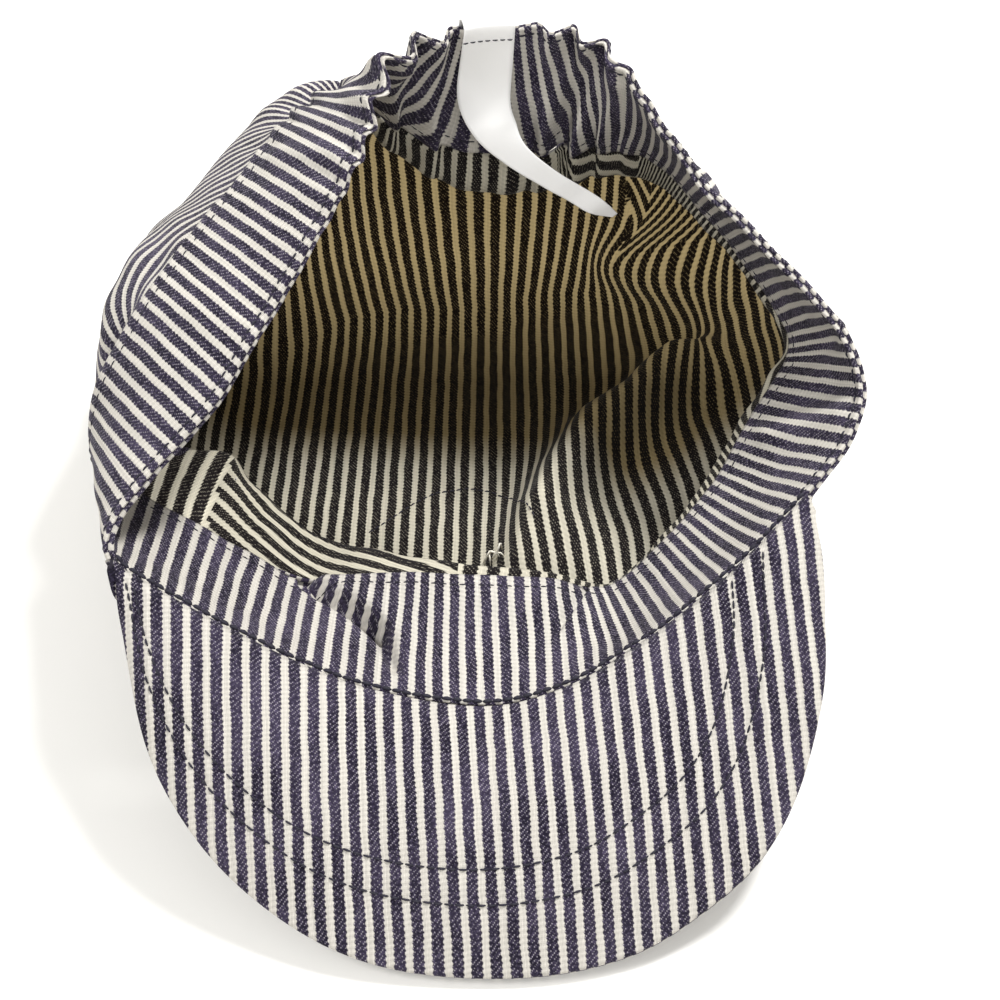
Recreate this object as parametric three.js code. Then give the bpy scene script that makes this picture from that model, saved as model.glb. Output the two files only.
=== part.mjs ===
// Railroad engineer cap lying upside down on its crown, brim towards -Y, millimetres, +Z up.
// Four sewn pieces: a soft one-piece crown, a doubled head band gathered at the back,
// a stiffened brim, and a ribbon label folded over the back of the band.
import * as THREE from 'three';

// Driving dimensions
const OPENING_WIDTH = 202;   // rim of the band, side to side
const OPENING_LENGTH = 157;  // rim of the band, front to back, seen from above
const CROWN_HEIGHT = 100;    // surface to the crown's highest shoulder
const OPENING_RISE = CROWN_HEIGHT * 1.08;  // back of the rim above its front
const FRONT_HEIGHT = CROWN_HEIGHT * 0.27;  // front of the rim above the surface it lies on
const BAND_HEIGHT = 40;      // rim to crown seam
const BAND_WALL = 3;         // two layers of cloth with turnings
const BAND_BOW = 2;          // how far the band bulges between its two edges
const CLOTH = 1.6;           // one layer of heavy twill as it lies
const CROWN_REACH = 120;     // rest centre to the fullest part of the crown's wall
const CROWN_SETBACK = 27;    // rest centre behind the middle of the opening
const CROWN_SHIFT = -4;      // rest centre to the right of the middle of the opening
const BRIM_DEPTH = 64;       // front of the rim to the tip of the brim
const BRIM_WIDTH = 186;      // widest part of the brim
const BRIM_WALL = 3.2;       // two cloth faces over a stiffener
const LABEL_WIDTH = 19;      // satin ribbon
const LABEL_LENGTH = 78;     // from the rim to the free tip
const LABEL_WALL = 1;
const LABEL_SLACK = 0.8;     // how loosely the label is folded over the rim
const SEAM_GAP = 0.35;       // clearance between pieces that are sewn together

// Gathers that the elastic pulls into the back of the band and the crown below it
const GATHER_DEPTH = 2.2;
const GATHER_PITCH = 11;
const RUFFLE_SHARE = 0.55;    // of a gather's depth all the way down the band
const RUFFLE_SWING = 0.45;    // how much more of it there is at the two edges

// Stations round the rim, from the middle of the front round by the right side.
// x, y and z are shares of the half width, the half length and the rise of the opening;
// leanX, leanY and leanZ are the way the band runs from its rim to its crown seam;
// bearing is the direction in degrees in which the crown leaves the rest centre there;
// facets is the number of columns of the mesh up to the next station;
// gather is how strongly the elastic pulls there.
const RIM_COLUMNS = ['x', 'y', 'z', 'leanX', 'leanY', 'leanZ', 'bearing', 'facets', 'gather'];
const RIM_ROWS = [
  [-0.05, -1.00, 0.00, -0.04, 0.99, 0.08, -95, 3, 0],
  [0.17, -0.95, 0.02, -0.02, 0.98, -0.15, -80, 4, 0],
  [0.37, -0.84, 0.08, -0.11, 0.86, -0.50, -63, 4, 0],
  [0.59, -0.67, 0.18, -0.20, 0.82, -0.53, -45, 4, 0],
  [0.80, -0.45, 0.29, -0.36, 0.75, -0.55, -28, 4, 0],
  [0.94, -0.27, 0.39, -0.50, 0.68, -0.53, -13, 3, 0],
  [0.99, -0.09, 0.46, -0.36, 0.72, -0.59, 0, 3, 0],
  [0.93, 0.13, 0.53, -0.08, 0.70, -0.71, 13, 4, 0],
  [0.76, 0.40, 0.61, 0.02, 0.75, -0.66, 28, 4, 0],
  [0.57, 0.63, 0.71, 0.08, 0.76, -0.64, 43, 4, 0.1],
  [0.44, 0.78, 0.83, 0.11, 0.64, -0.76, 55, 4, 0.15],
  [0.34, 0.90, 0.93, 0.03, 0.36, -0.93, 66, 5, 0.35],
  [0.20, 0.98, 0.99, -0.02, 0.06, -1.00, 79, 6, 1],
  [-0.03, 1.00, 1.00, -0.07, -0.03, -1.00, 95, 6, 0],
  [-0.20, 0.93, 0.99, -0.16, 0.26, -0.95, 110, 5, 1],
  [-0.31, 0.80, 0.96, -0.39, 0.70, -0.60, 124, 5, 0.8],
  [-0.38, 0.52, 0.84, -0.60, 0.77, -0.22, 141, 4, 0.3],
  [-0.51, 0.25, 0.70, -0.68, 0.73, -0.08, 157, 4, 0],
  [-0.63, 0.02, 0.59, -0.70, 0.71, 0.04, 170, 4, 0],
  [-0.75, -0.23, 0.49, -0.69, 0.71, 0.08, 182, 4, 0],
  [-0.89, -0.41, 0.41, -0.62, 0.77, -0.12, 193, 3, 0],
  [-0.99, -0.57, 0.35, -0.42, 0.85, -0.33, 203, 3, 0],
  [-1.00, -0.69, 0.30, -0.14, 0.92, -0.38, 213, 3, 0],
  [-0.88, -0.78, 0.26, -0.09, 0.93, -0.37, 222, 3, 0],
  [-0.74, -0.84, 0.19, -0.06, 0.92, -0.39, 231, 3, 0],
  [-0.55, -0.91, 0.10, -0.02, 0.93, -0.37, 241, 3, 0],
  [-0.34, -0.97, 0.04, 0.02, 0.99, -0.08, 252, 4, 0],
];

// Sections of the crown by bearing, in degrees. curl is how far the cloth runs on past the
// seam before it turns outwards, a share of the band's height. Each Out is a distance from
// the rest centre as a share of CROWN_REACH, each Up a height as a share of CROWN_HEIGHT.
const CROWN_COLUMNS = ['bearing', 'curl', 'shoulderOut', 'shoulderUp', 'bellyOut', 'bellyUp', 'footOut'];
const CROWN_ROWS = [
  [-95, 0.10, 0.66, 0.18, 0.72, 0.09, 0.62],
  [-62, 0.10, 0.65, 0.11, 0.70, 0.07, 0.61],
  [-30, 0.10, 0.77, 0.29, 0.83, 0.17, 0.70],
  [0, 0.12, 0.84, 0.46, 0.91, 0.25, 0.75],
  [30, 0.14, 0.83, 0.62, 0.94, 0.32, 0.77],
  [62, 0.25, 0.78, 0.81, 1.00, 0.44, 0.80],
  [95, 0.30, 0.60, 0.80, 0.98, 0.46, 0.62],
  [125, 0.20, 0.78, 1.01, 0.98, 0.50, 0.72],
  [155, 0.12, 0.85, 0.83, 0.98, 0.50, 0.73],
  [182, 0.12, 0.93, 0.74, 0.99, 0.38, 0.76],
  [205, 0.30, 0.96, 0.34, 0.99, 0.20, 0.79],
  [231, 0.40, 0.83, 0.22, 0.86, 0.12, 0.70],
  [251, 0.14, 0.69, 0.17, 0.74, 0.09, 0.64],
];

// Folds of the slumped crown, each a line of points. x and y are places from the rest centre
// as shares of CROWN_REACH, z is a share of CROWN_HEIGHT; pullX, pullY and pullZ are the way
// the cloth is pulled there and reach is how far that pull is felt, as shares of CROWN_REACH.
const FOLD_COLUMNS = ['x', 'y', 'z', 'pullX', 'pullY', 'pullZ', 'reach'];
const RIGHT_FOLD = [
  [0.08, -0.48, 0.01, 0.00, 0.03, 0.04, 0.10],
  [0.15, -0.43, 0.01, -0.03, 0.04, 0.08, 0.12],
  [0.24, -0.19, 0.01, -0.04, 0.05, 0.12, 0.13],
  [0.33, -0.03, 0.01, -0.06, 0.06, 0.14, 0.14],
  [0.47, 0.16, 0.03, -0.05, 0.07, 0.15, 0.13],
  [0.60, 0.31, 0.15, -0.04, 0.05, 0.09, 0.10],
];
const FRONT_LEFT_FOLD = [
  [-0.73, -0.28, 0.20, 0.03, 0.04, 0.08, 0.08],
  [-0.55, -0.29, 0.09, 0.02, 0.05, 0.12, 0.10],
  [-0.37, -0.32, 0.03, 0.01, 0.05, 0.12, 0.11],
  [-0.18, -0.38, 0.01, 0.00, 0.04, 0.08, 0.10],
];
const LEFT_DENT = [
  [-0.86, 0.42, 0.60, -0.05, 0.02, 0.00, 0.08],
  [-0.98, 0.30, 0.40, -0.05, 0.02, 0.00, 0.08],
];

// Outline of the brim, matched to the front rim. share runs along the brim's seam from its
// right end to its left; x is a share of half the brim's width, out of the brim's depth and
// up of its depth above the tip.
const BRIM_COLUMNS = ['share', 'x', 'out', 'up'];
const BRIM_ROWS = [
  [0.00, 0.91, -0.65, 0.88],
  [0.05, 0.93, -0.48, 0.78],
  [0.11, 0.93, -0.26, 0.65],
  [0.17, 0.91, 0.02, 0.51],
  [0.24, 0.83, 0.35, 0.33],
  [0.31, 0.71, 0.60, 0.22],
  [0.38, 0.54, 0.78, 0.12],
  [0.45, 0.35, 0.91, 0.04],
  [0.53, 0.09, 0.98, 0.01],
  [0.61, -0.22, 0.97, 0.02],
  [0.69, -0.46, 0.89, 0.08],
  [0.77, -0.68, 0.72, 0.19],
  [0.84, -0.84, 0.52, 0.33],
  [0.90, -0.96, 0.26, 0.50],
  [0.95, -1.03, -0.10, 0.74],
  [1.00, -1.07, -0.30, 0.88],
];
const BRIM_RIGHT_SHARE = 0.154;   // where the brim's seam starts and ends, shares of the
const BRIM_LEFT_SHARE = 0.811;    // stations round the rim
const BRIM_COLUMNS_OF_MESH = 38;
const BRIM_ROWS_OF_MESH = 6;
const BRIM_BOW = 5;               // how far the brim bulges upwards between seam and edge

// The label's middle line, from its end behind the band, over the rim and down inside.
// side and up are shares of its clearance round the rim: side is -1 behind the band and 1
// inside it. across, inward and down are shares of its length, width a share of LABEL_WIDTH,
// turn is the way its face turns, in degrees, and free is 0 where it lies along the band
// and 1 where it hangs by itself.
const LABEL_COLUMNS = ['side', 'up', 'across', 'inward', 'down', 'width', 'turn', 'free'];
const LABEL_ROWS = [
  [-1.0, 0.0, 0.00, 0.00, 0.11, 1.00, 0, 0],
  [-1.0, 0.0, 0.00, 0.00, 0.00, 1.00, 0, 0],
  [-0.7, 0.7, 0.00, 0.00, 0.00, 1.00, 0, 0],
  [0.0, 1.0, 0.00, 0.00, 0.00, 1.00, 0, 0],
  [0.7, 0.7, 0.00, 0.00, 0.00, 1.00, 0, 0],
  [1.0, 0.0, 0.00, 0.00, 0.00, 1.00, 0, 0],
  [1.0, 0.0, 0.00, 0.00, 0.12, 1.00, 0, 0.1],
  [1.0, 0.0, 0.00, 0.03, 0.26, 0.98, 3, 0.5],
  [1.0, 0.0, 0.03, 0.07, 0.38, 0.92, 12, 1],
  [1.0, 0.0, 0.09, 0.12, 0.48, 0.80, 28, 1],
  [1.0, 0.0, 0.19, 0.17, 0.57, 0.62, 44, 1],
  [1.0, 0.0, 0.32, 0.20, 0.65, 0.42, 54, 1],
  [1.0, 0.0, 0.45, 0.22, 0.70, 0.22, 58, 1],
];
const LABEL_SHARE = 0.4833;       // where the label crosses the rim, a share of the stations

// Rows of the mesh in each stretch of the crown's section, from the seam to the middle
const CROWN_STRETCHES = [1, 3, 3, 3];
const CROWN_FLOOR_ROWS = 9;
const CROWN_MIDDLE = 0.05;        // smallest ring, a share of the foot's distance
const INNER_FOOT = 0.7;           // a knot of the section on the flat part, a share as above
const CURL_RUN = 0.8;             // how much of the curl goes on the way the band leans
const CURL_DROP = 0.4;            // and how much goes down
const HELD_ROWS = 2;              // rows of the crown that its seam holds back from the folds
const BAND_ROWS = 3;
const TANGENT_STEP = 0.05;        // share of a station

const UP = new THREE.Vector3(0, 0, 1);
const REST_CENTRE = new THREE.Vector3(CROWN_SHIFT, CROWN_SETBACK, 0);

function rowsOf(columns, rows) {
  return rows.map((row) => Object.fromEntries(columns.map((column, i) => [column, row[i]])));
}

const rim = rowsOf(RIM_COLUMNS, RIM_ROWS);
const crownSections = rowsOf(CROWN_COLUMNS, CROWN_ROWS);
const folds = [RIGHT_FOLD, FRONT_LEFT_FOLD, LEFT_DENT].map((rows) => rowsOf(FOLD_COLUMNS, rows));
const brimOutline = rowsOf(BRIM_COLUMNS, BRIM_ROWS);
const labelLine = rowsOf(LABEL_COLUMNS, LABEL_ROWS);

// Smooth value through four neighbours, between the second and the third
function smooth(a, b, c, d, t) {
  const start = (c - a) / 2;
  const end = (d - b) / 2;
  const t2 = t * t;
  const t3 = t2 * t;
  return (2 * t3 - 3 * t2 + 1) * b + (t3 - 2 * t2 + t) * start
    + (3 * t2 - 2 * t3) * c + (t3 - t2) * end;
}

// Values of one column at a place round a closed table; turn is added for each lap
function around(rows, column, place, turn = 0) {
  const n = rows.length;
  const i = Math.floor(place);
  const at = (k) => rows[((k % n) + n) % n][column] + turn * Math.floor(k / n);
  return smooth(at(i - 1), at(i), at(i + 1), at(i + 2), place - i);
}

// Values of one column of an open table, looked up by its first column
function along(rows, key, column, value) {
  const last = rows.length - 1;
  let i = rows.findIndex((row) => row[key] > value) - 1;
  if (i < 0) i = value <= rows[0][key] ? 0 : last - 1;
  const at = (k) => rows[Math.min(Math.max(k, 0), last)][column];
  const t = (value - rows[i][key]) / (rows[i + 1][key] - rows[i][key]);
  return smooth(at(i - 1), at(i), at(i + 1), at(i + 2), Math.min(Math.max(t, 0), 1));
}

function rimPoint(place) {
  return new THREE.Vector3(
    around(rim, 'x', place) * OPENING_WIDTH / 2,
    around(rim, 'y', place) * OPENING_LENGTH / 2,
    FRONT_HEIGHT + around(rim, 'z', place) * OPENING_RISE,
  );
}

function leanAt(place) {
  const lean = new THREE.Vector3(
    around(rim, 'leanX', place),
    around(rim, 'leanY', place),
    around(rim, 'leanZ', place),
  );
  return lean.normalize();
}

function rimTangent(place) {
  return rimPoint(place + TANGENT_STEP).sub(rimPoint(place - TANGENT_STEP)).normalize();
}

// Outward side of the band, the good side of the cloth
function bandNormal(place) {
  return rimTangent(place).cross(leanAt(place)).normalize().negate();
}

// Places of the mesh's columns round the rim, closer together where the band is gathered
const places = rim.flatMap((row, i) => (
  Array.from({ length: row.facets }, (unused, k) => i + k / row.facets)
));

// Distance round the rim at each column, for the gathers
const rimLength = [0];
for (let i = 1; i < places.length; i += 1) {
  const stretch = rimPoint(places[i]).distanceTo(rimPoint(places[i - 1]));
  rimLength.push(rimLength[i - 1] + stretch);
}

function gatherAt(column) {
  const pull = around(rim, 'gather', places[column]);
  return GATHER_DEPTH * pull * Math.sin(2 * Math.PI * rimLength[column] / GATHER_PITCH);
}

// Crown section: the points that the cloth passes through from the seam to the floor
function crownKnots(column) {
  const place = places[column];
  const bearing = around(rim, 'bearing', place, 360);
  const laps = Math.floor((bearing - crownSections[0].bearing) / 360);
  const turned = bearing - 360 * laps;
  const n = crownSections.length;
  let i = crownSections.findIndex((row) => row.bearing > turned) - 1;
  if (i < 0) i = n - 1;
  const from = crownSections[i].bearing;
  const to = i + 1 < n ? crownSections[i + 1].bearing : crownSections[0].bearing + 360;
  const where = i + (turned - from) / (to - from);
  const value = (name) => around(crownSections, name, where);
  const angle = THREE.MathUtils.degToRad(turned);
  const ray = (out, up) => new THREE.Vector3(
    REST_CENTRE.x + out * CROWN_REACH * Math.cos(angle),
    REST_CENTRE.y + out * CROWN_REACH * Math.sin(angle),
    Math.max(up * CROWN_HEIGHT, CLOTH / 2),
  );
  const lean = leanAt(place);
  const seam = rimPoint(place).addScaledVector(lean, BAND_HEIGHT + SEAM_GAP);
  const run = value('curl') * BAND_HEIGHT;
  const curl = seam.clone().addScaledVector(lean, run * CURL_RUN);
  curl.addScaledVector(UP, -run * CURL_DROP);
  const foot = value('footOut');
  return {
    knots: [
      seam,
      curl,
      ray(value('shoulderOut'), value('shoulderUp')),
      ray(value('bellyOut'), value('bellyUp')),
      ray(foot, 0),
      ray(foot * INNER_FOOT, 0),
    ],
    floor: (share) => ray(foot * share, 0),
  };
}

function between(knots, i, t) {
  const at = (k) => knots[Math.min(Math.max(k, 0), knots.length - 1)];
  const value = (axis) => smooth(at(i - 1)[axis], at(i)[axis], at(i + 1)[axis], at(i + 2)[axis], t);
  return new THREE.Vector3(value('x'), value('y'), Math.max(value('z'), CLOTH / 2));
}

function crownColumn(column) {
  const { knots, floor } = crownKnots(column);
  const points = [];
  CROWN_STRETCHES.forEach((count, i) => {
    for (let k = 0; k < count; k += 1) points.push(between(knots, i, k / count));
  });
  for (let k = 0; k <= CROWN_FLOOR_ROWS; k += 1) {
    points.push(floor(1 - (1 - CROWN_MIDDLE) * k / CROWN_FLOOR_ROWS));
  }
  return points;
}

// How far all the folds pull a point of the cloth, each by its line's nearest place
function foldPull(point) {
  const total = new THREE.Vector3();
  for (const rows of folds) {
    const centres = rows.map((row) => new THREE.Vector3(
      row.x * CROWN_REACH,
      row.y * CROWN_REACH,
      row.z * CROWN_HEIGHT,
    ).add(REST_CENTRE));
    const pulls = rows.map((row) => new THREE.Vector3(row.pullX, row.pullY, row.pullZ));
    let closest = Infinity;
    let pull = pulls[0];
    for (let i = 0; i + 1 < rows.length; i += 1) {
      const line = new THREE.Line3(centres[i], centres[i + 1]);
      const t = line.closestPointToPointParameter(point, true);
      const distance = line.at(t, new THREE.Vector3()).distanceTo(point);
      if (distance < closest) {
        closest = distance;
        const reach = (rows[i].reach + (rows[i + 1].reach - rows[i].reach) * t) * CROWN_REACH;
        const strength = CROWN_REACH * Math.exp(-((distance / reach) ** 2));
        pull = pulls[i].clone().lerp(pulls[i + 1], t).multiplyScalar(strength);
      }
    }
    total.add(pull);
  }
  return total;
}

// Normals of a grid of points that closes on itself round its columns, pointing out of the cap
function gridNormals(grid) {
  const columns = grid.length;
  const rows = grid[0].length;
  return grid.map((line, i) => line.map((point, j) => {
    const round = grid[(i + 1) % columns][j].clone().sub(grid[(i - 1 + columns) % columns][j]);
    const down = line[Math.min(j + 1, rows - 1)].clone().sub(line[Math.max(j - 1, 0)]);
    return down.cross(round).normalize();
  }));
}

function geometryOf(vertices, triangles) {
  const geometry = new THREE.BufferGeometry();
  const flat = vertices.flatMap((point) => [point.x, point.y, point.z]);
  geometry.setAttribute('position', new THREE.Float32BufferAttribute(flat, 3));
  geometry.setIndex(triangles.flat());
  geometry.computeVertexNormals();
  return geometry;
}

// Closed wall between two grids of points whose columns run round a loop. A bottom grid
// that ends in a small ring is closed by a middle point on each side.
function loopWall(outside, inside, middles) {
  const columns = outside.length;
  const rows = outside[0].length;
  const vertices = [...outside.flat(), ...inside.flat()];
  const out = (i, j) => (i % columns) * rows + j;
  const into = (i, j) => columns * rows + out(i, j);
  const triangles = [];
  for (let i = 0; i < columns; i += 1) {
    for (let j = 0; j + 1 < rows; j += 1) {
      triangles.push([out(i, j), out(i, j + 1), out(i + 1, j)]);
      triangles.push([out(i + 1, j), out(i, j + 1), out(i + 1, j + 1)]);
      triangles.push([into(i, j), into(i + 1, j), into(i, j + 1)]);
      triangles.push([into(i + 1, j), into(i + 1, j + 1), into(i, j + 1)]);
    }
    triangles.push([out(i, 0), out(i + 1, 0), into(i, 0)]);
    triangles.push([out(i + 1, 0), into(i + 1, 0), into(i, 0)]);
    const last = rows - 1;
    if (middles) {
      const middle = vertices.length;
      triangles.push([out(i, last), middle, out(i + 1, last)]);
      triangles.push([into(i, last), into(i + 1, last), middle + 1]);
    } else {
      triangles.push([out(i, last), into(i, last), out(i + 1, last)]);
      triangles.push([out(i + 1, last), into(i, last), into(i + 1, last)]);
    }
  }
  if (middles) vertices.push(...middles);
  return geometryOf(vertices, triangles);
}

// Closed slab between two open grids of points
function slab(top, bottom) {
  const columns = top.length;
  const rows = top[0].length;
  const vertices = [...top.flat(), ...bottom.flat()];
  const high = (i, j) => i * rows + j;
  const low = (i, j) => columns * rows + high(i, j);
  const triangles = [];
  const quad = (a, b, c, d) => triangles.push([a, b, c], [a, c, d]);
  for (let i = 0; i + 1 < columns; i += 1) {
    for (let j = 0; j + 1 < rows; j += 1) {
      quad(high(i, j), high(i + 1, j), high(i + 1, j + 1), high(i, j + 1));
      quad(low(i, j), low(i, j + 1), low(i + 1, j + 1), low(i + 1, j));
    }
    quad(high(i, 0), low(i, 0), low(i + 1, 0), high(i + 1, 0));
    quad(high(i, rows - 1), high(i + 1, rows - 1), low(i + 1, rows - 1), low(i, rows - 1));
  }
  for (let j = 0; j + 1 < rows; j += 1) {
    quad(high(0, j), high(0, j + 1), low(0, j + 1), low(0, j));
    quad(high(columns - 1, j), low(columns - 1, j), low(columns - 1, j + 1), high(columns - 1, j + 1));
  }
  return geometryOf(vertices, triangles);
}

// Crown: one layer of cloth, folded and pleated into the band's seam
function crownGeometry() {
  const base = places.map((place, column) => {
    const points = crownColumn(column);
    const wave = gatherAt(column);
    const out = bandNormal(place);
    const fade = CROWN_STRETCHES[0] + CROWN_STRETCHES[1];
    return points.map((point, j) => {
      const share = Math.max(0, 1 - j / fade);
      return point.clone().addScaledVector(out, wave * share);
    });
  });
  const middle = base.map((line) => line.map((point, j) => (
    point.clone().addScaledVector(foldPull(point), Math.min(1, j / HELD_ROWS))
  )));
  const normals = gridNormals(middle);
  places.forEach((place, i) => normals[i][0].copy(bandNormal(place)));
  const side = (offset) => middle.map((line, i) => line.map((point, j) => {
    const moved = point.clone().addScaledVector(normals[i][j], offset);
    moved.z = Math.max(moved.z, CLOTH / 2 - offset);
    return moved;
  }));
  const middleOut = REST_CENTRE.clone().add(foldPull(REST_CENTRE));
  const middleIn = middleOut.clone().addScaledVector(UP, CLOTH);
  return loopWall(side(CLOTH / 2), side(-CLOTH / 2), [middleOut, middleIn]);
}

// Head band: two layers round the opening, bowed between rim and seam, gathered at the back
function bandMiddle(place, share, wave) {
  const bow = BAND_BOW * Math.sin(Math.PI * share);
  const ruffle = wave * (RUFFLE_SHARE + RUFFLE_SWING * Math.cos(2 * Math.PI * share));
  return rimPoint(place)
    .addScaledVector(leanAt(place), BAND_HEIGHT * share)
    .addScaledVector(bandNormal(place), bow + ruffle);
}

function bandGeometry() {
  const middle = places.map((place, column) => (
    Array.from({ length: BAND_ROWS + 1 }, (unused, j) => (
      bandMiddle(place, j / BAND_ROWS, gatherAt(column))
    ))
  ));
  const normals = gridNormals(middle);
  places.forEach((place, i) => {
    normals[i][0].copy(bandNormal(place));
    normals[i][BAND_ROWS].copy(bandNormal(place));
  });
  const side = (offset) => middle.map((line, i) => line.map((point, j) => (
    point.clone().addScaledVector(normals[i][j], offset)
  )));
  return loopWall(side(BAND_WALL / 2), side(-BAND_WALL / 2), null);
}

// Brim: a curved slab from the front rim to its outer edge
function brimPlace(share) {
  return rim.length * (BRIM_RIGHT_SHARE + (BRIM_LEFT_SHARE - 1 - BRIM_RIGHT_SHARE) * share);
}

function brimPoint(share, out) {
  const place = brimPlace(share);
  const seam = rimPoint(place).addScaledVector(leanAt(place), -2 * SEAM_GAP);
  const edge = new THREE.Vector3(
    along(brimOutline, 'share', 'x', share) * BRIM_WIDTH / 2,
    -OPENING_LENGTH / 2 - along(brimOutline, 'share', 'out', share) * BRIM_DEPTH,
    BRIM_WALL / 2 + along(brimOutline, 'share', 'up', share) * BRIM_DEPTH,
  );
  const point = seam.clone().lerp(edge, out);
  point.z += BRIM_BOW * Math.sin(Math.PI * out) * Math.sin(Math.PI * share);
  return point;
}

function brimGeometry() {
  const middle = Array.from({ length: BRIM_COLUMNS_OF_MESH + 1 }, (unused, i) => (
    Array.from({ length: BRIM_ROWS_OF_MESH + 1 }, (unusedToo, j) => (
      brimPoint(i / BRIM_COLUMNS_OF_MESH, j / BRIM_ROWS_OF_MESH)
    ))
  ));
  const last = { i: middle.length - 1, j: middle[0].length - 1 };
  const normals = middle.map((line, i) => line.map((point, j) => {
    const acrossIt = middle[Math.min(i + 1, last.i)][j].clone().sub(middle[Math.max(i - 1, 0)][j]);
    const outOfIt = line[Math.min(j + 1, last.j)].clone().sub(line[Math.max(j - 1, 0)]);
    if (j === 0) return bandNormal(brimPlace(i / BRIM_COLUMNS_OF_MESH)).negate();
    return acrossIt.cross(outOfIt).normalize();
  }));
  const side = (offset) => middle.map((line, i) => line.map((point, j) => {
    const moved = point.clone().addScaledVector(normals[i][j], offset);
    moved.z = Math.max(moved.z, 0);
    return moved;
  }));
  return slab(side(BRIM_WALL / 2), side(-BRIM_WALL / 2));
}

// Care label: a plain ribbon folded over the rim, hanging and twisting down into the cap
function labelGeometry() {
  const clearance = BAND_WALL / 2 + SEAM_GAP + LABEL_SLACK + LABEL_WALL / 2;
  const labelPlace = LABEL_SHARE * rim.length;
  const stationLength = rimPoint(labelPlace + 0.5).distanceTo(rimPoint(labelPlace - 0.5));
  const alongBand = (row, share) => {
    const place = labelPlace - share * row.width * LABEL_WIDTH / 2 / stationLength;
    return bandMiddle(place, row.down * LABEL_LENGTH / BAND_HEIGHT, 0)
      .addScaledVector(bandNormal(place), -row.side * clearance)
      .addScaledVector(leanAt(place), -row.up * clearance);
  };
  const inward = bandNormal(labelPlace).negate();
  const down = leanAt(labelPlace);
  const rightward = rimTangent(labelPlace).negate();
  const hanging = (row, share) => {
    const turn = THREE.MathUtils.degToRad(row.turn);
    const half = share * row.width * LABEL_WIDTH / 2;
    return rimPoint(labelPlace)
      .addScaledVector(inward, row.side * clearance + row.inward * LABEL_LENGTH)
      .addScaledVector(down, row.down * LABEL_LENGTH - half * Math.sin(turn))
      .addScaledVector(rightward, row.across * LABEL_LENGTH + half * Math.cos(turn));
  };
  const middle = labelLine.map((row) => [-1, 0, 1].map((share) => (
    alongBand(row, share).lerp(hanging(row, share), row.free)
  )));
  const last = middle.length - 1;
  const side = (offset) => middle.map((line, i) => {
    const runs = middle[Math.min(i + 1, last)][1].clone().sub(middle[Math.max(i - 1, 0)][1]);
    const face = line[2].clone().sub(line[0]).cross(runs).normalize();
    return line.map((point) => point.clone().addScaledVector(face, offset));
  });
  return slab(side(-LABEL_WALL / 2), side(LABEL_WALL / 2));
}

// The four pieces, each with the finish that it has on the real cap
function piece(name, geometry, colour, roughness) {
  const material = new THREE.MeshStandardMaterial({ color: colour, roughness, metalness: 0 });
  const mesh = new THREE.Mesh(geometry, material);
  mesh.name = name;
  return mesh;
}

const cap = new THREE.Group();
cap.add(piece('crown', crownGeometry(), 0x6a6675, 0.95));
cap.add(piece('head_band', bandGeometry(), 0x4a475c, 0.95));
cap.add(piece('brim', brimGeometry(), 0x5a5768, 0.9));
cap.add(piece('care_label', labelGeometry(), 0xf2f1ee, 0.6));

// Origin: middle of the cap's outline, on the surface that it lies on
const box = new THREE.Box3().setFromObject(cap);
const middleOfBox = box.getCenter(new THREE.Vector3());
cap.position.set(-middleOfBox.x, -middleOfBox.y, -box.min.z);

export default cap;
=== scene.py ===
# Railroad engineer cap, lying upside down on its crown with the brim towards the viewer.
# Lengths are worked out in millimetres, as cap makers cut, and turned to metres in each mesh.
import math

import bmesh
import bpy
import numpy as np
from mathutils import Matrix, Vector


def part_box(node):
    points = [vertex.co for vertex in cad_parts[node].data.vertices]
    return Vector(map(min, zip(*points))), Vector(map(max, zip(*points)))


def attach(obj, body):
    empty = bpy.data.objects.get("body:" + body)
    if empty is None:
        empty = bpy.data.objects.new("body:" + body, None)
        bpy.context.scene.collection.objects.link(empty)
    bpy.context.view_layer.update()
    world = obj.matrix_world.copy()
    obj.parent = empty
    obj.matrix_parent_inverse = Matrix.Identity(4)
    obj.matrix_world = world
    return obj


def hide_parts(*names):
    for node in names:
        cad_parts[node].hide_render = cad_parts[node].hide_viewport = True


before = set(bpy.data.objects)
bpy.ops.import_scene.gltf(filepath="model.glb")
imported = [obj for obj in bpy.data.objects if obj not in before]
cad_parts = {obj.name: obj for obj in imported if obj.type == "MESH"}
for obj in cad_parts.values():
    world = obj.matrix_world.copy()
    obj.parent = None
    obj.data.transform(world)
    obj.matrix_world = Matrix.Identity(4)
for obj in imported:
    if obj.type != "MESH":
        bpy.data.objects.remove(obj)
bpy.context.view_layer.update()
MM = 0.001

# Head band. Two layers of hickory-stripe denim, good side out on both faces, sewn together
# along their folded edges at the rim. An elastic inside gathers the back, and everything
# else on the cap is sewn to this band, so its rim and its lean place the other pieces.
OPENING_WIDTH = 202
OPENING_LENGTH = 157
OPENING_RISE = 108
FRONT_HEIGHT = 27
BAND_HEIGHT = 40
BAND_WALL = 3
BAND_BOW = 2
SEAM_GAP = 0.35
GATHER_DEPTH = 3.3
GATHER_PITCH = 11

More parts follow.
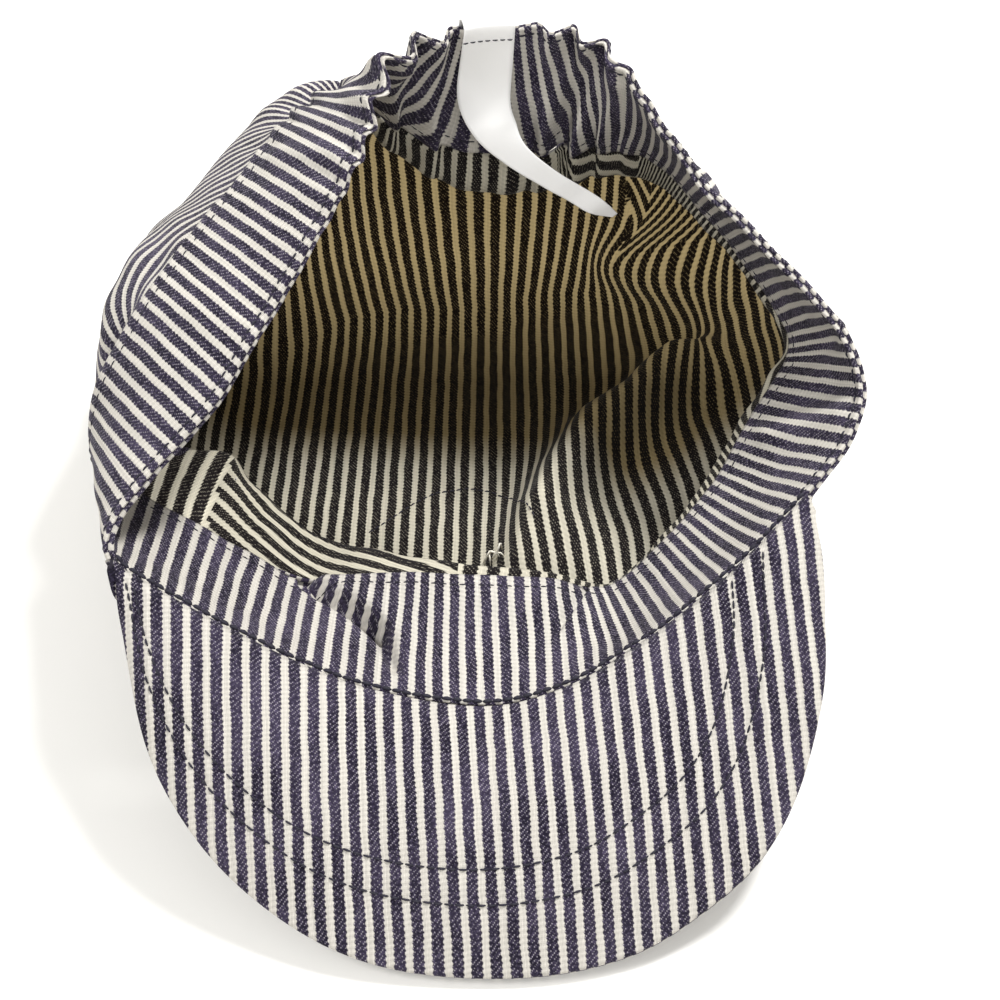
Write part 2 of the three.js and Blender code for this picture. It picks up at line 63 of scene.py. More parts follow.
# x, y and z are shares of the opening, lean is the way from rim to crown seam, bearing the
# way in which the crown leaves the rest centre, gather how hard the elastic pulls there
RIM_COLUMNS = ("x", "y", "z", "lean_x", "lean_y", "lean_z", "bearing", "gather")
RIM = np.array([
    (-0.05, -1.00, 0.00, -0.04, 0.99, 0.08, -95, 0),
    (0.17, -0.95, 0.02, -0.02, 0.98, -0.15, -80, 0),
    (0.37, -0.84, 0.08, -0.11, 0.86, -0.50, -63, 0),
    (0.59, -0.67, 0.18, -0.20, 0.82, -0.53, -45, 0),
    (0.80, -0.45, 0.29, -0.36, 0.75, -0.55, -28, 0),
    (0.94, -0.27, 0.39, -0.50, 0.68, -0.53, -13, 0),
    (0.99, -0.09, 0.46, -0.36, 0.72, -0.59, 0, 0),
    (0.93, 0.13, 0.53, -0.08, 0.70, -0.71, 13, 0),
    (0.76, 0.40, 0.61, 0.02, 0.75, -0.66, 28, 0),
    (0.57, 0.63, 0.71, 0.08, 0.76, -0.64, 43, 0),
    (0.44, 0.78, 0.83, 0.11, 0.64, -0.76, 55, 0.08),
    (0.34, 0.90, 0.93, 0.03, 0.36, -0.93, 66, 0.3),
    (0.20, 0.98, 0.99, -0.02, 0.06, -1.00, 79, 1),
    (-0.03, 1.00, 1.00, -0.07, -0.03, -1.00, 95, 0),
    (-0.20, 0.93, 0.99, -0.16, 0.26, -0.95, 110, 1),
    (-0.31, 0.80, 0.96, -0.39, 0.70, -0.60, 124, 0.8),
    (-0.38, 0.52, 0.84, -0.60, 0.77, -0.22, 141, 0.3),
    (-0.51, 0.25, 0.70, -0.68, 0.73, -0.08, 157, 0),
    (-0.63, 0.02, 0.59, -0.70, 0.71, 0.04, 170, 0),
    (-0.75, -0.23, 0.49, -0.69, 0.71, 0.08, 182, 0),
    (-0.89, -0.41, 0.41, -0.62, 0.77, -0.12, 193, 0),
    (-0.99, -0.57, 0.35, -0.42, 0.85, -0.33, 203, 0),
    (-1.00, -0.69, 0.30, -0.14, 0.92, -0.38, 213, 0),
    (-0.88, -0.78, 0.26, -0.09, 0.93, -0.37, 222, 0),
    (-0.74, -0.84, 0.19, -0.06, 0.92, -0.39, 231, 0),
    (-0.55, -0.91, 0.10, -0.02, 0.93, -0.37, 241, 0),
    (-0.34, -0.97, 0.04, 0.02, 0.99, -0.08, 252, 0),
])
STATIONS = len(RIM)


def smooth(a, b, c, d, t):
    """Value on a smooth curve through four neighbours, between the second and the third."""
    start = (c - a) / 2
    end = (d - b) / 2
    return ((2 * t**3 - 3 * t**2 + 1) * b + (t**3 - 2 * t**2 + t) * start
            + (3 * t**2 - 2 * t**3) * c + (t**3 - t**2) * end)


def around(values, place, lap=0):
    """Values round a closed table at fractional rows; lap is added for each whole turn."""
    place = np.asarray(place, float)
    first = np.floor(place).astype(int)
    count = len(values)

    def at(k):
        return values[k % count] + lap * (k // count)
    return smooth(at(first - 1), at(first), at(first + 1), at(first + 2), place - first)


def rim_column(name, place, lap=0):
    return around(RIM[:, RIM_COLUMNS.index(name)], place, lap)


def unit(v):
    return v / np.maximum(np.linalg.norm(v, axis=-1, keepdims=True), 1e-9)


def rim_point(place):
    return np.stack([
        rim_column("x", place) * OPENING_WIDTH / 2,
        rim_column("y", place) * OPENING_LENGTH / 2,
        FRONT_HEIGHT + rim_column("z", place) * OPENING_RISE,
    ], -1)


def lean_at(place):
    return unit(np.stack([rim_column(n, place) for n in ("lean_x", "lean_y", "lean_z")], -1))


def rim_tangent(place):
    return unit(rim_point(place + 0.05) - rim_point(place - 0.05))


def band_normal(place):
    """The way out of the band, on the side that shows when the cap is worn."""
    return -unit(np.cross(rim_tangent(place), lean_at(place)))


fine_places = np.linspace(0, STATIONS, STATIONS * 200 + 1)
fine_steps = np.linalg.norm(np.diff(rim_point(fine_places), axis=0), axis=1)
fine_length = np.concatenate([[0], np.cumsum(fine_steps)])
RIM_LENGTH = fine_length[-1]


def even_places(count):
    """Places spread evenly round the rim, and how far round in millimetres each one is."""
    length = np.linspace(0, RIM_LENGTH, count, endpoint=False)
    return np.interp(length, fine_length, fine_places), length


def length_at(place):
    return np.interp(np.mod(place, STATIONS), fine_places, fine_length)


def ripple(points, size, seed):
    """Soft uneven relief in three dimensions, from -1 to 1, with humps of about that size."""
    dice = np.random.default_rng(seed)
    total = np.zeros(points.shape[:-1])
    for _ in range(7):
        way = unit(dice.normal(size=3)) * 2 * math.pi / (size * dice.uniform(0.7, 1.8))
        total += np.sin(points @ way + dice.uniform(0, 2 * math.pi))
    return total / 4


def gather_wave(place):
    """How far the elastic's gathers push the cloth out or in."""
    length = length_at(place)
    pull = rim_column("gather", place)
    wander = 1.2 * np.sin(length / 15) + 0.7 * np.sin(length / 7.3 + 1)
    main = np.sin(2 * math.pi * length / GATHER_PITCH + 0.6 * wander)
    small = 0.15 * np.sin(2 * math.pi * length / 5.1 + wander)
    return GATHER_DEPTH * pull * (main + small)


# Creases pressed into the band: from and to as place round the rim and millimetres below
# it, with the half width and depth in millimetres
BAND_CREASES = (
    (26.4, 34, 27.9, 34, 9.0, 1.6),
    (4.9, 30, 5.4, 8, 5.0, 1.8),
    (6.2, 36, 6.9, 6, 4.0, -1.6),
    (8.6, 34, 9.0, 10, 4.0, -1.2),
    (12.1, 38, 11.6, 4, 3.0, -3.5),
    (11.2, 34, 11.0, 8, 3.0, 2.0),
    (14.5, 36, 14.6, 6, 3.0, 2.5),
    (16.4, 30, 16.1, 6, 4.0, -1.6),
    (18.6, 34, 18.2, 8, 6.0, -1.0),
)
# Buckles, where the cloth on one side of the line laps over the other: the same columns,
# with how far the step is felt and its height. A narrow groove runs along the step.
BUCKLE_SOFTNESS = 2.4
BUCKLE_GROOVE = 2.5
GROOVE_HALF = 1.5
BAND_BUCKLES = (
    (24.95, 40, 26.05, 21, 9.0, 2.4),
    (26.05, 21, 26.22, 9, 5.0, 1.3),
    (1.62, 42, 0.98, 23, 7.0, 0.9),
)


def from_line(x, y, x0, y0, x1, y1):
    """Distance from points to a straight line between two ends, and the side they are on."""
    along = ((x - x0) * (x1 - x0) + (y - y0) * (y1 - y0)) / ((x1 - x0)**2 + (y1 - y0)**2)
    along = np.clip(along, 0, 1)
    away = np.hypot(x - x0 - along * (x1 - x0), y - y0 - along * (y1 - y0))
    side = ((x - x0) * (y1 - y0) - (y - y0) * (x1 - x0)) / math.hypot(x1 - x0, y1 - y0)
    return away, side


def band_point(place, down, off=0.0):
    """A point of the band's middle surface, down millimetres below the rim, moved off it."""
    place, down = np.broadcast_arrays(np.asarray(place, float), np.asarray(down, float))
    share = down / BAND_HEIGHT
    wave = gather_wave(place) * (0.55 + 0.45 * np.cos(2 * math.pi * share))
    out = BAND_BOW * np.sin(math.pi * share) + wave + off
    length = length_at(place)
    for k, (p0, d0, p1, d1, half, depth) in enumerate(BAND_CREASES + BAND_BUCKLES):
        ends = [float(length_at(p)) + RIM_LENGTH * (p // STATIONS) for p in (p0, p1)]
        for lap in (0, RIM_LENGTH):
            away, side = from_line(length + lap, down, ends[0], d0, ends[1], d1)
            shape = np.exp(-(away / half)**2)
            if k >= len(BAND_CREASES):
                groove = BUCKLE_GROOVE * np.exp(-(away / GROOVE_HALF)**2)
                shape = -np.tanh(side / BUCKLE_SOFTNESS) * shape - groove
            out = out - depth * shape
    base = rim_point(place) + lean_at(place) * down[..., None]
    relief = 0.35 * ripple(base, 16, 3)
    return base + band_normal(place) * (out + relief)[..., None]


# The rim is two folded edges side by side, so its section has two lobes, and a row of
# stitches pinches them together
LOBE = BAND_WALL / 4
LOBE_STEPS = 7
FOLD_DEPTH = 2.2
EDGE_STITCH_DOWN = 2.6
PINCH_HALF = 0.9
PINCH_DEPTH = 0.38
PINCH_EASE = 0.45


def edge_section(flat_rows):
    """Section over a sewn double edge: down, off and a running length, from face to face."""
    down = list(np.linspace(BAND_HEIGHT, FOLD_DEPTH, flat_rows))
    off = [2 * LOBE] * flat_rows
    turn = np.radians(np.linspace(0, 150, LOBE_STEPS))
    for side, angles in ((1, turn), (-1, turn[::-1])):
        for angle in angles:
            down.append(LOBE * 1.6 * (1 - math.sin(angle)))
            off.append(side * (LOBE + LOBE * math.cos(angle)))
    down += list(np.linspace(FOLD_DEPTH, BAND_HEIGHT, flat_rows))
    off += [-2 * LOBE] * flat_rows
    down, off = np.array(down), np.array(off)
    run = np.concatenate([[0], np.cumsum(np.hypot(np.diff(down), np.diff(off)))])
    return down, off, run


def finish_mesh(name, vertices, faces, uvs, slots=None):
    """A mesh object from points in millimetres, with a UV in millimetres for each corner."""
    mesh = bpy.data.meshes.new(name)
    mesh.from_pydata((vertices * MM).tolist(), [], faces.tolist())
    layer = mesh.uv_layers.new(name="cloth")
    layer.data.foreach_set("uv", np.asarray(uvs, np.float32).ravel())
    if slots is not None:
        mesh.polygons.foreach_set("material_index", np.asarray(slots, np.int32))
    mesh.polygons.foreach_set("use_smooth", [True] * len(faces))
    shell = bmesh.new()
    shell.from_mesh(mesh)
    bmesh.ops.recalc_face_normals(shell, faces=shell.faces)
    shell.to_mesh(mesh)
    shell.free()
    mesh.update()
    piece = bpy.data.objects.new(name, mesh)
    bpy.context.scene.collection.objects.link(piece)
    return piece


def grid_faces(columns, rows, wrap_columns, wrap_rows=False):
    """Corner numbers of a grid's faces, and the unwrapped grid places for their UVs."""
    i, j = np.meshgrid(
        np.arange(columns if wrap_columns else columns - 1),
        np.arange(rows if wrap_rows else rows - 1), indexing="ij")
    i, j = i.ravel(), j.ravel()
    ring = [(i, j), (i + 1, j), (i + 1, j + 1), (i, j + 1)]
    faces = np.stack([(a % columns) * rows + b % rows for a, b in ring], 1)
    corners = np.stack([np.stack(pair, 1) for pair in ring], 1)
    return faces, corners


def end_caps(columns, rows):
    """Faces that close the first and the last section of a flat bar."""
    k = np.arange(rows // 2 - 1)
    near = np.stack([k, k + 1, rows - 2 - k, rows - 1 - k], 1)
    return np.concatenate([near[:, ::-1], near + (columns - 1) * rows])


BAND_COLUMNS = 960
BAND_ROWS = 38
STITCH_PITCH = 2.7

# How the elastic has dragged the stripes askew: place round the rim, and the slant
BAND_LEAN = np.array([(10.8, 0), (11.6, 0.35), (12.3, 0.3), (12.9, 0.05), (13.5, -0.2), (14.0, -0.5),
                      (14.8, -0.55), (15.6, 0)])

band_places, band_lengths = even_places(BAND_COLUMNS)
section_down, section_off, section_run = edge_section(BAND_ROWS)
between_stitches = np.abs(np.sin(math.pi * band_lengths / STITCH_PITCH))
pinch = np.exp(-((section_down - EDGE_STITCH_DOWN) / PINCH_HALF)**2)
thin = 1 - PINCH_DEPTH * pinch[None, :] * (1 - PINCH_EASE * between_stitches[:, None])
band_grid = band_point(band_places[:, None], section_down[None, :], section_off[None, :] * thin)

# The cap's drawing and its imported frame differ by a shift, read from the band's own box
band_low, band_high = (np.array(corner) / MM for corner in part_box("head_band"))
SHIFT = np.array([
    (band_low[0] + band_high[0]) / 2 - (band_grid[..., 0].min() + band_grid[..., 0].max()) / 2,
    band_low[1] - band_grid[..., 1].min(),
    0.0,
])

# The cloth's pattern coordinate round the band; gathered cloth holds more of it
GATHER_FULLNESS = 0.15
fullness = 1 + GATHER_FULLNESS * np.clip(rim_column("gather", fine_places[:-1]), 0, 1)
fine_cloth = np.concatenate([[0], np.cumsum(fine_steps * fullness)])
STRIPE_PITCH = 4.8
stripes_round = round(fine_cloth[-1] / STRIPE_PITCH)
cloth_scale = stripes_round * STRIPE_PITCH / fine_cloth[-1]
band_cloth = np.interp(np.append(band_places, STATIONS), fine_places, fine_cloth) * cloth_scale
band_faces, band_corners = grid_faces(BAND_COLUMNS, len(section_down), True, True)
run_length = np.append(section_run, section_run[-1] + BAND_WALL)
band_u = band_cloth[band_corners[..., 0]]
band_v = run_length[band_corners[..., 1]]
outer_layer = band_corners[..., 1] < BAND_ROWS + LOBE_STEPS
band_u = band_u + np.where(outer_layer.all(1, keepdims=True), STRIPE_PITCH / 2, 0)
leaning = np.interp(np.append(band_places, STATIONS), BAND_LEAN[:, 0], BAND_LEAN[:, 1])
from_middle = np.append(section_down, section_down[0]) - BAND_HEIGHT / 2
band_u = band_u + leaning[band_corners[..., 0]] * from_middle[band_corners[..., 1]]
head_band = finish_mesh(
    "head_band_cloth", band_grid.reshape(-1, 3) + SHIFT, band_faces[:, ::-1],
    np.stack([band_u, band_v], -1)[:, ::-1])


def linear(hex_colour):
    """An sRGB hex colour as the linear values that shaders work in."""
    parts = [int(hex_colour[i:i + 2], 16) / 255 for i in (1, 3, 5)]
    return [p / 12.92 if p <= 0.04045 else ((p + 0.055) / 1.055)**2.4 for p in parts] + [1.0]


def add_node(tree, kind, settings=None, **inputs):
    """One shader node: its settings, then its inputs as values or as other nodes' outputs.
    An input is named in small letters, or in0, in1 and so on by its place."""
    node = tree.nodes.new(kind)
    for key, value in (settings or {}).items():
        setattr(node, key, value)
    names = {s.name.lower().replace(" ", "_"): s for s in reversed(node.inputs)}
    for key, value in inputs.items():
        socket = node.inputs[int(key[2:])] if key[:2] == "in" and key[2:].isdigit() else names[key]
        if isinstance(value, bpy.types.NodeSocket):
            tree.links.new(value, socket)
        else:
            socket.default_value = value
    return node


def new_material(name):
    material = bpy.data.materials.new(name)
    material.use_nodes = True
    material.node_tree.nodes.clear()
    return material, material.node_tree


# Hickory-stripe denim: a 2/1 twill of cotton, warp striped in indigo and ecru, weft ecru.
# On the good side the eye gets ecru stripes with edges stepped like a rope's, on a navy
# ground that the weft flecks in slanting lines. The spacings in millimetres are those of a
# cloth with about 64 yarns an inch in the warp and 55 in the weft, an estimate.
WARP_PITCH = 0.4
WEFT_PITCH = 0.46
ECRU_HALF_WIDTH = 0.85
ROPE_STEP = 0.13
EDGE_TREMBLE = 0.2
EDGE_SHARPNESS = 4.5
FLECKED_EDGE = 1.5


def weave_nodes(tree):
    """Sockets that say where in the weave a point is, from its UV in millimetres."""
    def math_node(operation, a, b=0.0, c=0.0, clamp=False):
        settings = {"operation": operation, "use_clamp": clamp}
        return add_node(tree, "ShaderNodeMath", settings, in0=a, in1=b, in2=c).outputs[0]

    def bulge_across(turns):
        centred = math_node("MULTIPLY_ADD", math_node("FRACT", turns), 2.0, -1.0)
        return math_node("SUBTRACT", 1.0, math_node("MULTIPLY", centred, centred))

    uv = add_node(tree, "ShaderNodeUVMap", {"uv_map": "cloth"}).outputs[0]
    wander = add_node(tree, "ShaderNodeTexNoise", None, vector=uv, scale=0.12, detail=2.0)
    tremble = add_node(tree, "ShaderNodeTexNoise", None, vector=uv, scale=1.3, detail=1.0)
    split = add_node(tree, "ShaderNodeSeparateXYZ", None, vector=uv)
    drift = math_node("MULTIPLY_ADD", wander.outputs[0], 0.9, -0.45)
    across = math_node("ADD", split.outputs[0], drift)
    warp = math_node("DIVIDE", across, WARP_PITCH)
    weft = math_node("DIVIDE", split.outputs[1], WEFT_PITCH)
    warp_number = math_node("FLOOR", warp)
    step = math_node("ADD", warp_number, math_node("FLOOR", weft))
    crossing = math_node("LESS_THAN", math_node("FLOORED_MODULO", step, 3.0), 0.5)

    # Signed distance from the middle of the ecru stripe, and its stepped edge
    shifted = math_node("FLOORED_MODULO", math_node("ADD", across, STRIPE_PITCH / 2), STRIPE_PITCH)
    offset = math_node("SUBTRACT", shifted, STRIPE_PITCH / 2)
    distance = math_node("ABSOLUTE", offset)
    turn = math_node("MULTIPLY", split.outputs[1], 2 * math.pi / (3 * WEFT_PITCH))
    rope = math_node("SINE", math_node("MULTIPLY_ADD", offset, 1.1, turn))
    edge = math_node("MULTIPLY_ADD", rope, ROPE_STEP, ECRU_HALF_WIDTH)
    edge = math_node("MULTIPLY_ADD", tremble.outputs[0], EDGE_TREMBLE, edge)
    ecru = math_node("MULTIPLY", math_node("SUBTRACT", edge, distance), EDGE_SHARPNESS)
    ecru = math_node("ADD", ecru, 0.5, clamp=True)
    beside_ecru = math_node("SUBTRACT", FLECKED_EDGE, distance, clamp=True)
    warp_round, weft_round = bulge_across(warp), bulge_across(weft)
    yarn = add_node(tree, "ShaderNodeTexWhiteNoise", {"noise_dimensions": "1D"},
                    w=warp_number).outputs[0]
    return {
        "math": math_node, "ecru": ecru, "crossing": crossing, "beside_ecru": beside_ecru,
        "bulge": math_node("MULTIPLY", warp_round, weft_round), "rope": rope,
        "warp_round": warp_round, "weft_round": weft_round, "yarn": yarn,
    }


def mix_colours(tree, factor, a, b, blend="MIX"):
    """Two colours mixed, or one multiplied by the other, each a value or a socket."""
    settings = {"data_type": "RGBA", "blend_type": blend}
    return add_node(tree, "ShaderNodeMix", settings, in0=factor, in6=a, in7=b).outputs[2]


def grey_socket(tree, level):
    """A socket's level as a grey."""
    return add_node(tree, "ShaderNodeCombineColor", None, red=level, green=level, blue=level).outputs[0]


# How brightly the painted glow lights up the cloth where light comes through it
PAINTED_GLOW_STRENGTH = 1.0


def denim(name, navy, ecru, fleck, worn, fleck_share, edge_fleck, wear, gloss, roughness,
          painted_shade_tint=None):
    """Hickory denim. fleck_share is how strongly the weft shows where it crosses the navy
    warp, and edge_fleck how much more beside an ecru stripe. The last argument is the tint
    of a painted shade laid where no sunlight reaches the cloth; there a painted glow, the
    cloth's own colour given off as light, stands in for the light that comes through it."""
    material, tree = new_material(name)
    weave = weave_nodes(tree)
    math_node = weave["math"]
    place = add_node(tree, "ShaderNodeTexCoord").outputs["Object"]
    patches = add_node(tree, "ShaderNodeTexNoise", None, vector=place, scale=60.0, detail=5.0)
    lint = add_node(tree, "ShaderNodeTexNoise", None, vector=place, scale=1500.0, detail=1.0)
    worn_share = math_node("MULTIPLY_ADD", patches.outputs[0], 3.0 * wear, -1.2 * wear, clamp=True)
    fuzz = math_node("MULTIPLY_ADD", lint.outputs[0], 3.5 * wear, -1.5 * wear, clamp=True)
    dyed = mix_colours(tree, math_node("ADD", worn_share, fuzz, clamp=True), linear(navy), linear(worn))
    uneven = math_node("MULTIPLY_ADD", lint.outputs[0], 7.0, -2.9, clamp=True)
    seen = math_node("MULTIPLY_ADD", weave["beside_ecru"], edge_fleck, fleck_share)
    seen = math_node("MULTIPLY", seen, uneven)
    shows = math_node("MULTIPLY", weave["crossing"], weave["bulge"])
    dyed = mix_colours(tree, math_node("MULTIPLY", shows, seen, clamp=True), dyed, linear(fleck))
    colour = mix_colours(tree, weave["ecru"], dyed, linear(ecru))
    # Yarns differ a little in tone and lint lightens them; a painted shade darkens the gaps between
    # them
    shade = math_node("MULTIPLY_ADD", weave["yarn"], 0.16, 0.8)
    shade = math_node("MULTIPLY_ADD", lint.outputs[0], 0.24, shade)
    colour = mix_colours(tree, 1.0, colour, grey_socket(tree, shade), "MULTIPLY")
    # Painted shade: darker in the gaps between the yarns and along the stepped stripe edges
    painted_gap_shade = math_node("MULTIPLY_ADD", weave["warp_round"], 0.1, 0.9)
    painted_gap_shade = math_node("MULTIPLY_ADD", weave["rope"], 0.05, painted_gap_shade)
    colour = mix_colours(tree, 1.0, colour, grey_socket(tree, painted_gap_shade), "MULTIPLY")
    height = math_node("MULTIPLY_ADD", weave["weft_round"], 0.4, weave["warp_round"])
    height = math_node("MULTIPLY_ADD", weave["rope"], 0.5, height)
    bump = add_node(tree, "ShaderNodeBump", None, strength=0.5, distance=0.00014, height=height)
    painted_glow_inputs = {}
    if painted_shade_tint:
        # Painted shade: the cloth is tinted darker and warmer where the depth attribute marks it as out
        # of the sun
        depth = add_node(tree, "ShaderNodeAttribute", {"attribute_name": "depth"}).outputs["Fac"]
        painted_shade_colour = mix_colours(tree, 1.0, colour, linear(painted_shade_tint), "MULTIPLY")
        colour = mix_colours(tree, depth, colour, painted_shade_colour)
        # Painted glow: the cloth gives off its own colour as light where the through attribute says
        # light comes through
        through = add_node(tree, "ShaderNodeAttribute", {"attribute_name": "through"}).outputs["Fac"]
        painted_glow_inputs = {"emission_color": colour,
               "emission_strength": math_node("MULTIPLY", through, PAINTED_GLOW_STRENGTH)}
    shader = add_node(tree, "ShaderNodeBsdfPrincipled", None, base_color=colour,
                      roughness=roughness, sheen_weight=0.06, sheen_roughness=0.5,
                      normal=bump.outputs[0], **painted_glow_inputs)
    shader.inputs["Specular IOR Level"].default_value = gloss
    add_node(tree, "ShaderNodeOutputMaterial", None, surface=shader.outputs[0])
    return material


face_denim = denim("hickory_denim_good_side", navy="#1b1726", ecru="#c8c3ba", fleck="#b9b3b8",
                   worn="#4e465d", fleck_share=0.6, edge_fleck=0.4, wear=0.5, gloss=0.12,
                   roughness=0.85)
head_band.data.materials.append(face_denim)
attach(head_band, "root")
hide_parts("head_band")

# Crown. One round layer of the same denim, not lined, pleated into the band's seam. It has
# slumped: a flat part carries the cap, and folds stand up inside where the cloth buckles.
CLOTH = 1.6
CROWN_REACH = 120
CROWN_HEIGHT = 100
REST_CENTRE = np.array([-4.0, 27.0, 0.0])
# By bearing in degrees: where the cloth turns back, in millimetres from the seam, then its
# shoulder, belly and foot, outwards as shares of the reach and up as shares of the height
CROWN_COLUMNS = ("bearing", "turn_x", "turn_y", "turn_z", "shoulder_out", "shoulder_up",
                 "belly_out", "belly_up", "foot_out")
CROWN = np.array([
    (-95, 0, 3, -1, 0.66, 0.18, 0.72, 0.09, 0.62),
    (-62, 0, 3, -3, 0.65, 0.11, 0.70, 0.07, 0.61),
    (-30, -1, 3, -3, 0.77, 0.29, 0.83, 0.17, 0.70),
    (0, -1, 3, -4, 0.84, 0.46, 0.91, 0.25, 0.75),
    (30, 0, 3, -5, 0.83, 0.62, 0.94, 0.32, 0.77),
    (62, 0, 4, -11, 0.78, 0.81, 1.00, 0.44, 0.80),
    (95, -1, 0, -14, 0.60, 0.80, 0.98, 0.46, 0.62),
    (125, -2, 4, -7, 0.78, 1.01, 0.98, 0.50, 0.72),
    (155, -3, 3, -2, 0.85, 0.83, 0.98, 0.50, 0.73),
    (182, -1, 6, -3, 0.93, 0.74, 0.99, 0.38, 0.76),
    (203, 13, 14, -6, 0.96, 0.34, 0.99, 0.20, 0.79),
    (218, 7, 24, -8, 0.90, 0.27, 0.93, 0.16, 0.75),
    (231, 1, 28, -7, 0.83, 0.22, 0.86, 0.12, 0.70),
    (251, 0, 12, -5, 0.69, 0.17, 0.74, 0.09, 0.64),
])
# Folds of the slumped cloth, each a line of points in millimetres from the rest centre:
# x, y, z, the pull on the cloth in x, y, z, and how far that pull is felt
CROWN_FOLDS = (
    # the fold that stands up from the front middle to the right and leans back over
    ((12, -58, 1, -1, 3, 5, 10), (15, -46, 1, -3, 5, 10, 12), (24, -29, 1, -6, 7, 16, 14),
     (32, -12, 1, -6, 8, 17, 15), (44, 6, 1, -6, 8, 19, 16), (57, 18, 1, -6, 8, 19, 15),
     (69, 36, 2, -6, 8, 18, 13), (79, 42, 10, -5, 6, 12, 11)),
    # the valley before that fold, tucked in under it
    ((36, -26, 1, -1, 2, -4, 8), (52, -6, 1, -3, 4, -8, 10), (66, 8, 1, -3, 4, -8, 10),
     (78, 24, 2, -3, 4, -6, 9)),
    # the crease along the right wall, pushed into the hollow
    ((54, 98, 14, -9, -6, 3, 11), (70, 80, 24, -12, -8, 3, 13), (83, 62, 34, -8, -6, 1, 11)),
    # the bulge at the left end of the cloth turned back
    ((-86, -16, 36, 5, 0, 5, 9), (-82, -34, 33, 5, 0, 5, 9), (-79, -50, 33, 3, 0, 2, 7)),
    # the dent of the left wall
    ((-103, 50, 60, -6, 2, 0, 10), (-118, 36, 40, -6, 2, 0, 10)),
)
# Points towards which the cloth is drawn together: x, y, z, share drawn in and reach
CROWN_PINCHES = (
    (75, 54, 16, 0.6, 17),
)
# Cloth turned back at the front left: its bearings, how its stripes run, where its puffed
# left end stops, all in degrees, and how many rows past the turn each of the two takes
TURNED_BEARINGS = (190, 262)
TURNED_STRIPES = -32
BULGE_BEARING = 226
BULGE_ROWS = 8
TURNED_ROWS = 2
# Crease on the right above which the stripes run askew: the bearings that it spans, its
# corner's bearing and height, its rise in millimetres a degree to either side, and the slant
CREASE_BEARINGS = (5, 80)
CREASE_CORNER = 59
CREASE_HEIGHT = 18
CREASE_RISE = (-1.5, 5)
CREASE_SLANT = 0.8
# Soft unevenness of the cloth: depth and size in millimetres, and the seed
SLUMPS = ((0.9, 34, 11), (0.45, 14, 12))
CROWN_MESH_COLUMNS = 400
CROWN_STRETCHES = (7, 12, 12, 12)
CROWN_FLOOR_ROWS = 56
CROWN_MIDDLE = 0.002
SMOOTHED_ROWS = 14
SMOOTHING_ROUNDS = 40


def crown_knots(place):
    """Points that the crown's section passes through, from the seam to the flat part."""
    bearing = np.mod(rim_column("bearing", place, 360) + 95, 360) - 95
    starts = np.append(CROWN[:, 0], CROWN[0, 0] + 360)
    where = np.interp(bearing, starts, np.arange(len(starts)))
    value = {n: around(CROWN[:, k], where) for k, n in enumerate(CROWN_COLUMNS) if k}
    angle = np.radians(bearing)

    def ray(out, up):
        height = np.maximum(up * CROWN_HEIGHT, CLOTH / 2)
        return np.stack([REST_CENTRE[0] + out * CROWN_REACH * np.cos(angle),
                         REST_CENTRE[1] + out * CROWN_REACH * np.sin(angle),
                         height + 0 * angle], -1)

    lean = lean_at(place)
    seam = rim_point(place) + lean * (BAND_HEIGHT + SEAM_GAP)
    turn = seam + np.stack([value[n] for n in ("turn_x", "turn_y", "turn_z")], -1)
    foot = value["foot_out"]
    knots = [seam, turn, ray(value["shoulder_out"], value["shoulder_up"]),
             ray(value["belly_out"], value["belly_up"]), ray(foot, 0), ray(foot * 0.7, 0)]
    return knots, lambda share: ray(foot * share, 0), angle


def crown_grid(place):
    knots, floor, angle = crown_knots(place)

    def at(k):
        return knots[min(max(k, 0), len(knots) - 1)]
    rows = []
    for i, count in enumerate(CROWN_STRETCHES):
        for k in range(count):
            point = smooth(at(i - 1), at(i), at(i + 1), at(i + 2), k / count)
            point[:, 2] = np.maximum(point[:, 2], CLOTH / 2)
            rows.append(point)
    for k in range(CROWN_FLOOR_ROWS + 1):
        rows.append(floor(1 - (1 - CROWN_MIDDLE) * k / CROWN_FLOOR_ROWS))
    return np.stack(rows, 1), angle


def grid_normals(grid):
    """Normals of a grid that closes round its columns, pointing out of the cap."""
    round_it = np.roll(grid, -1, 0) - np.roll(grid, 1, 0)
    down = np.empty_like(grid)
    down[:, 1:-1] = grid[:, 2:] - grid[:, :-2]
    down[:, 0] = grid[:, 1] - grid[:, 0]
    down[:, -1] = grid[:, -1] - grid[:, -2]
    return unit(np.cross(down, round_it))


def folded(points):
    """Points pulled by every fold and drawn in by every pinch."""
    points = points - REST_CENTRE
    moved = points.copy()
    for line in map(np.array, CROWN_FOLDS):
        nearest = np.full(points.shape[:-1], 1e9)
        pull = np.zeros(points.shape)
        reach = np.ones(points.shape[:-1])
        for a, b in zip(line[:-1], line[1:]):
            way = b[:3] - a[:3]
            along = np.clip((points - a[:3]) @ way / (way @ way), 0, 1)
            away = np.linalg.norm(points - a[:3] - along[..., None] * way, axis=-1)
            closer = away < nearest
            nearest = np.where(closer, away, nearest)
            here = a[3:6] + along[..., None] * (b[3:6] - a[3:6])
            pull = np.where(closer[..., None], here, pull)
            reach = np.where(closer, a[6] + along * (b[6] - a[6]), reach)
        moved += pull * np.exp(-(nearest / reach)**2)[..., None]
    for x, y, z, share, reach in CROWN_PINCHES:
        way = np.array([x, y, z]) - moved
        away = np.linalg.norm(way, axis=-1, keepdims=True)
        moved += way * share * np.exp(-(away / reach)**2)
    return moved + REST_CENTRE


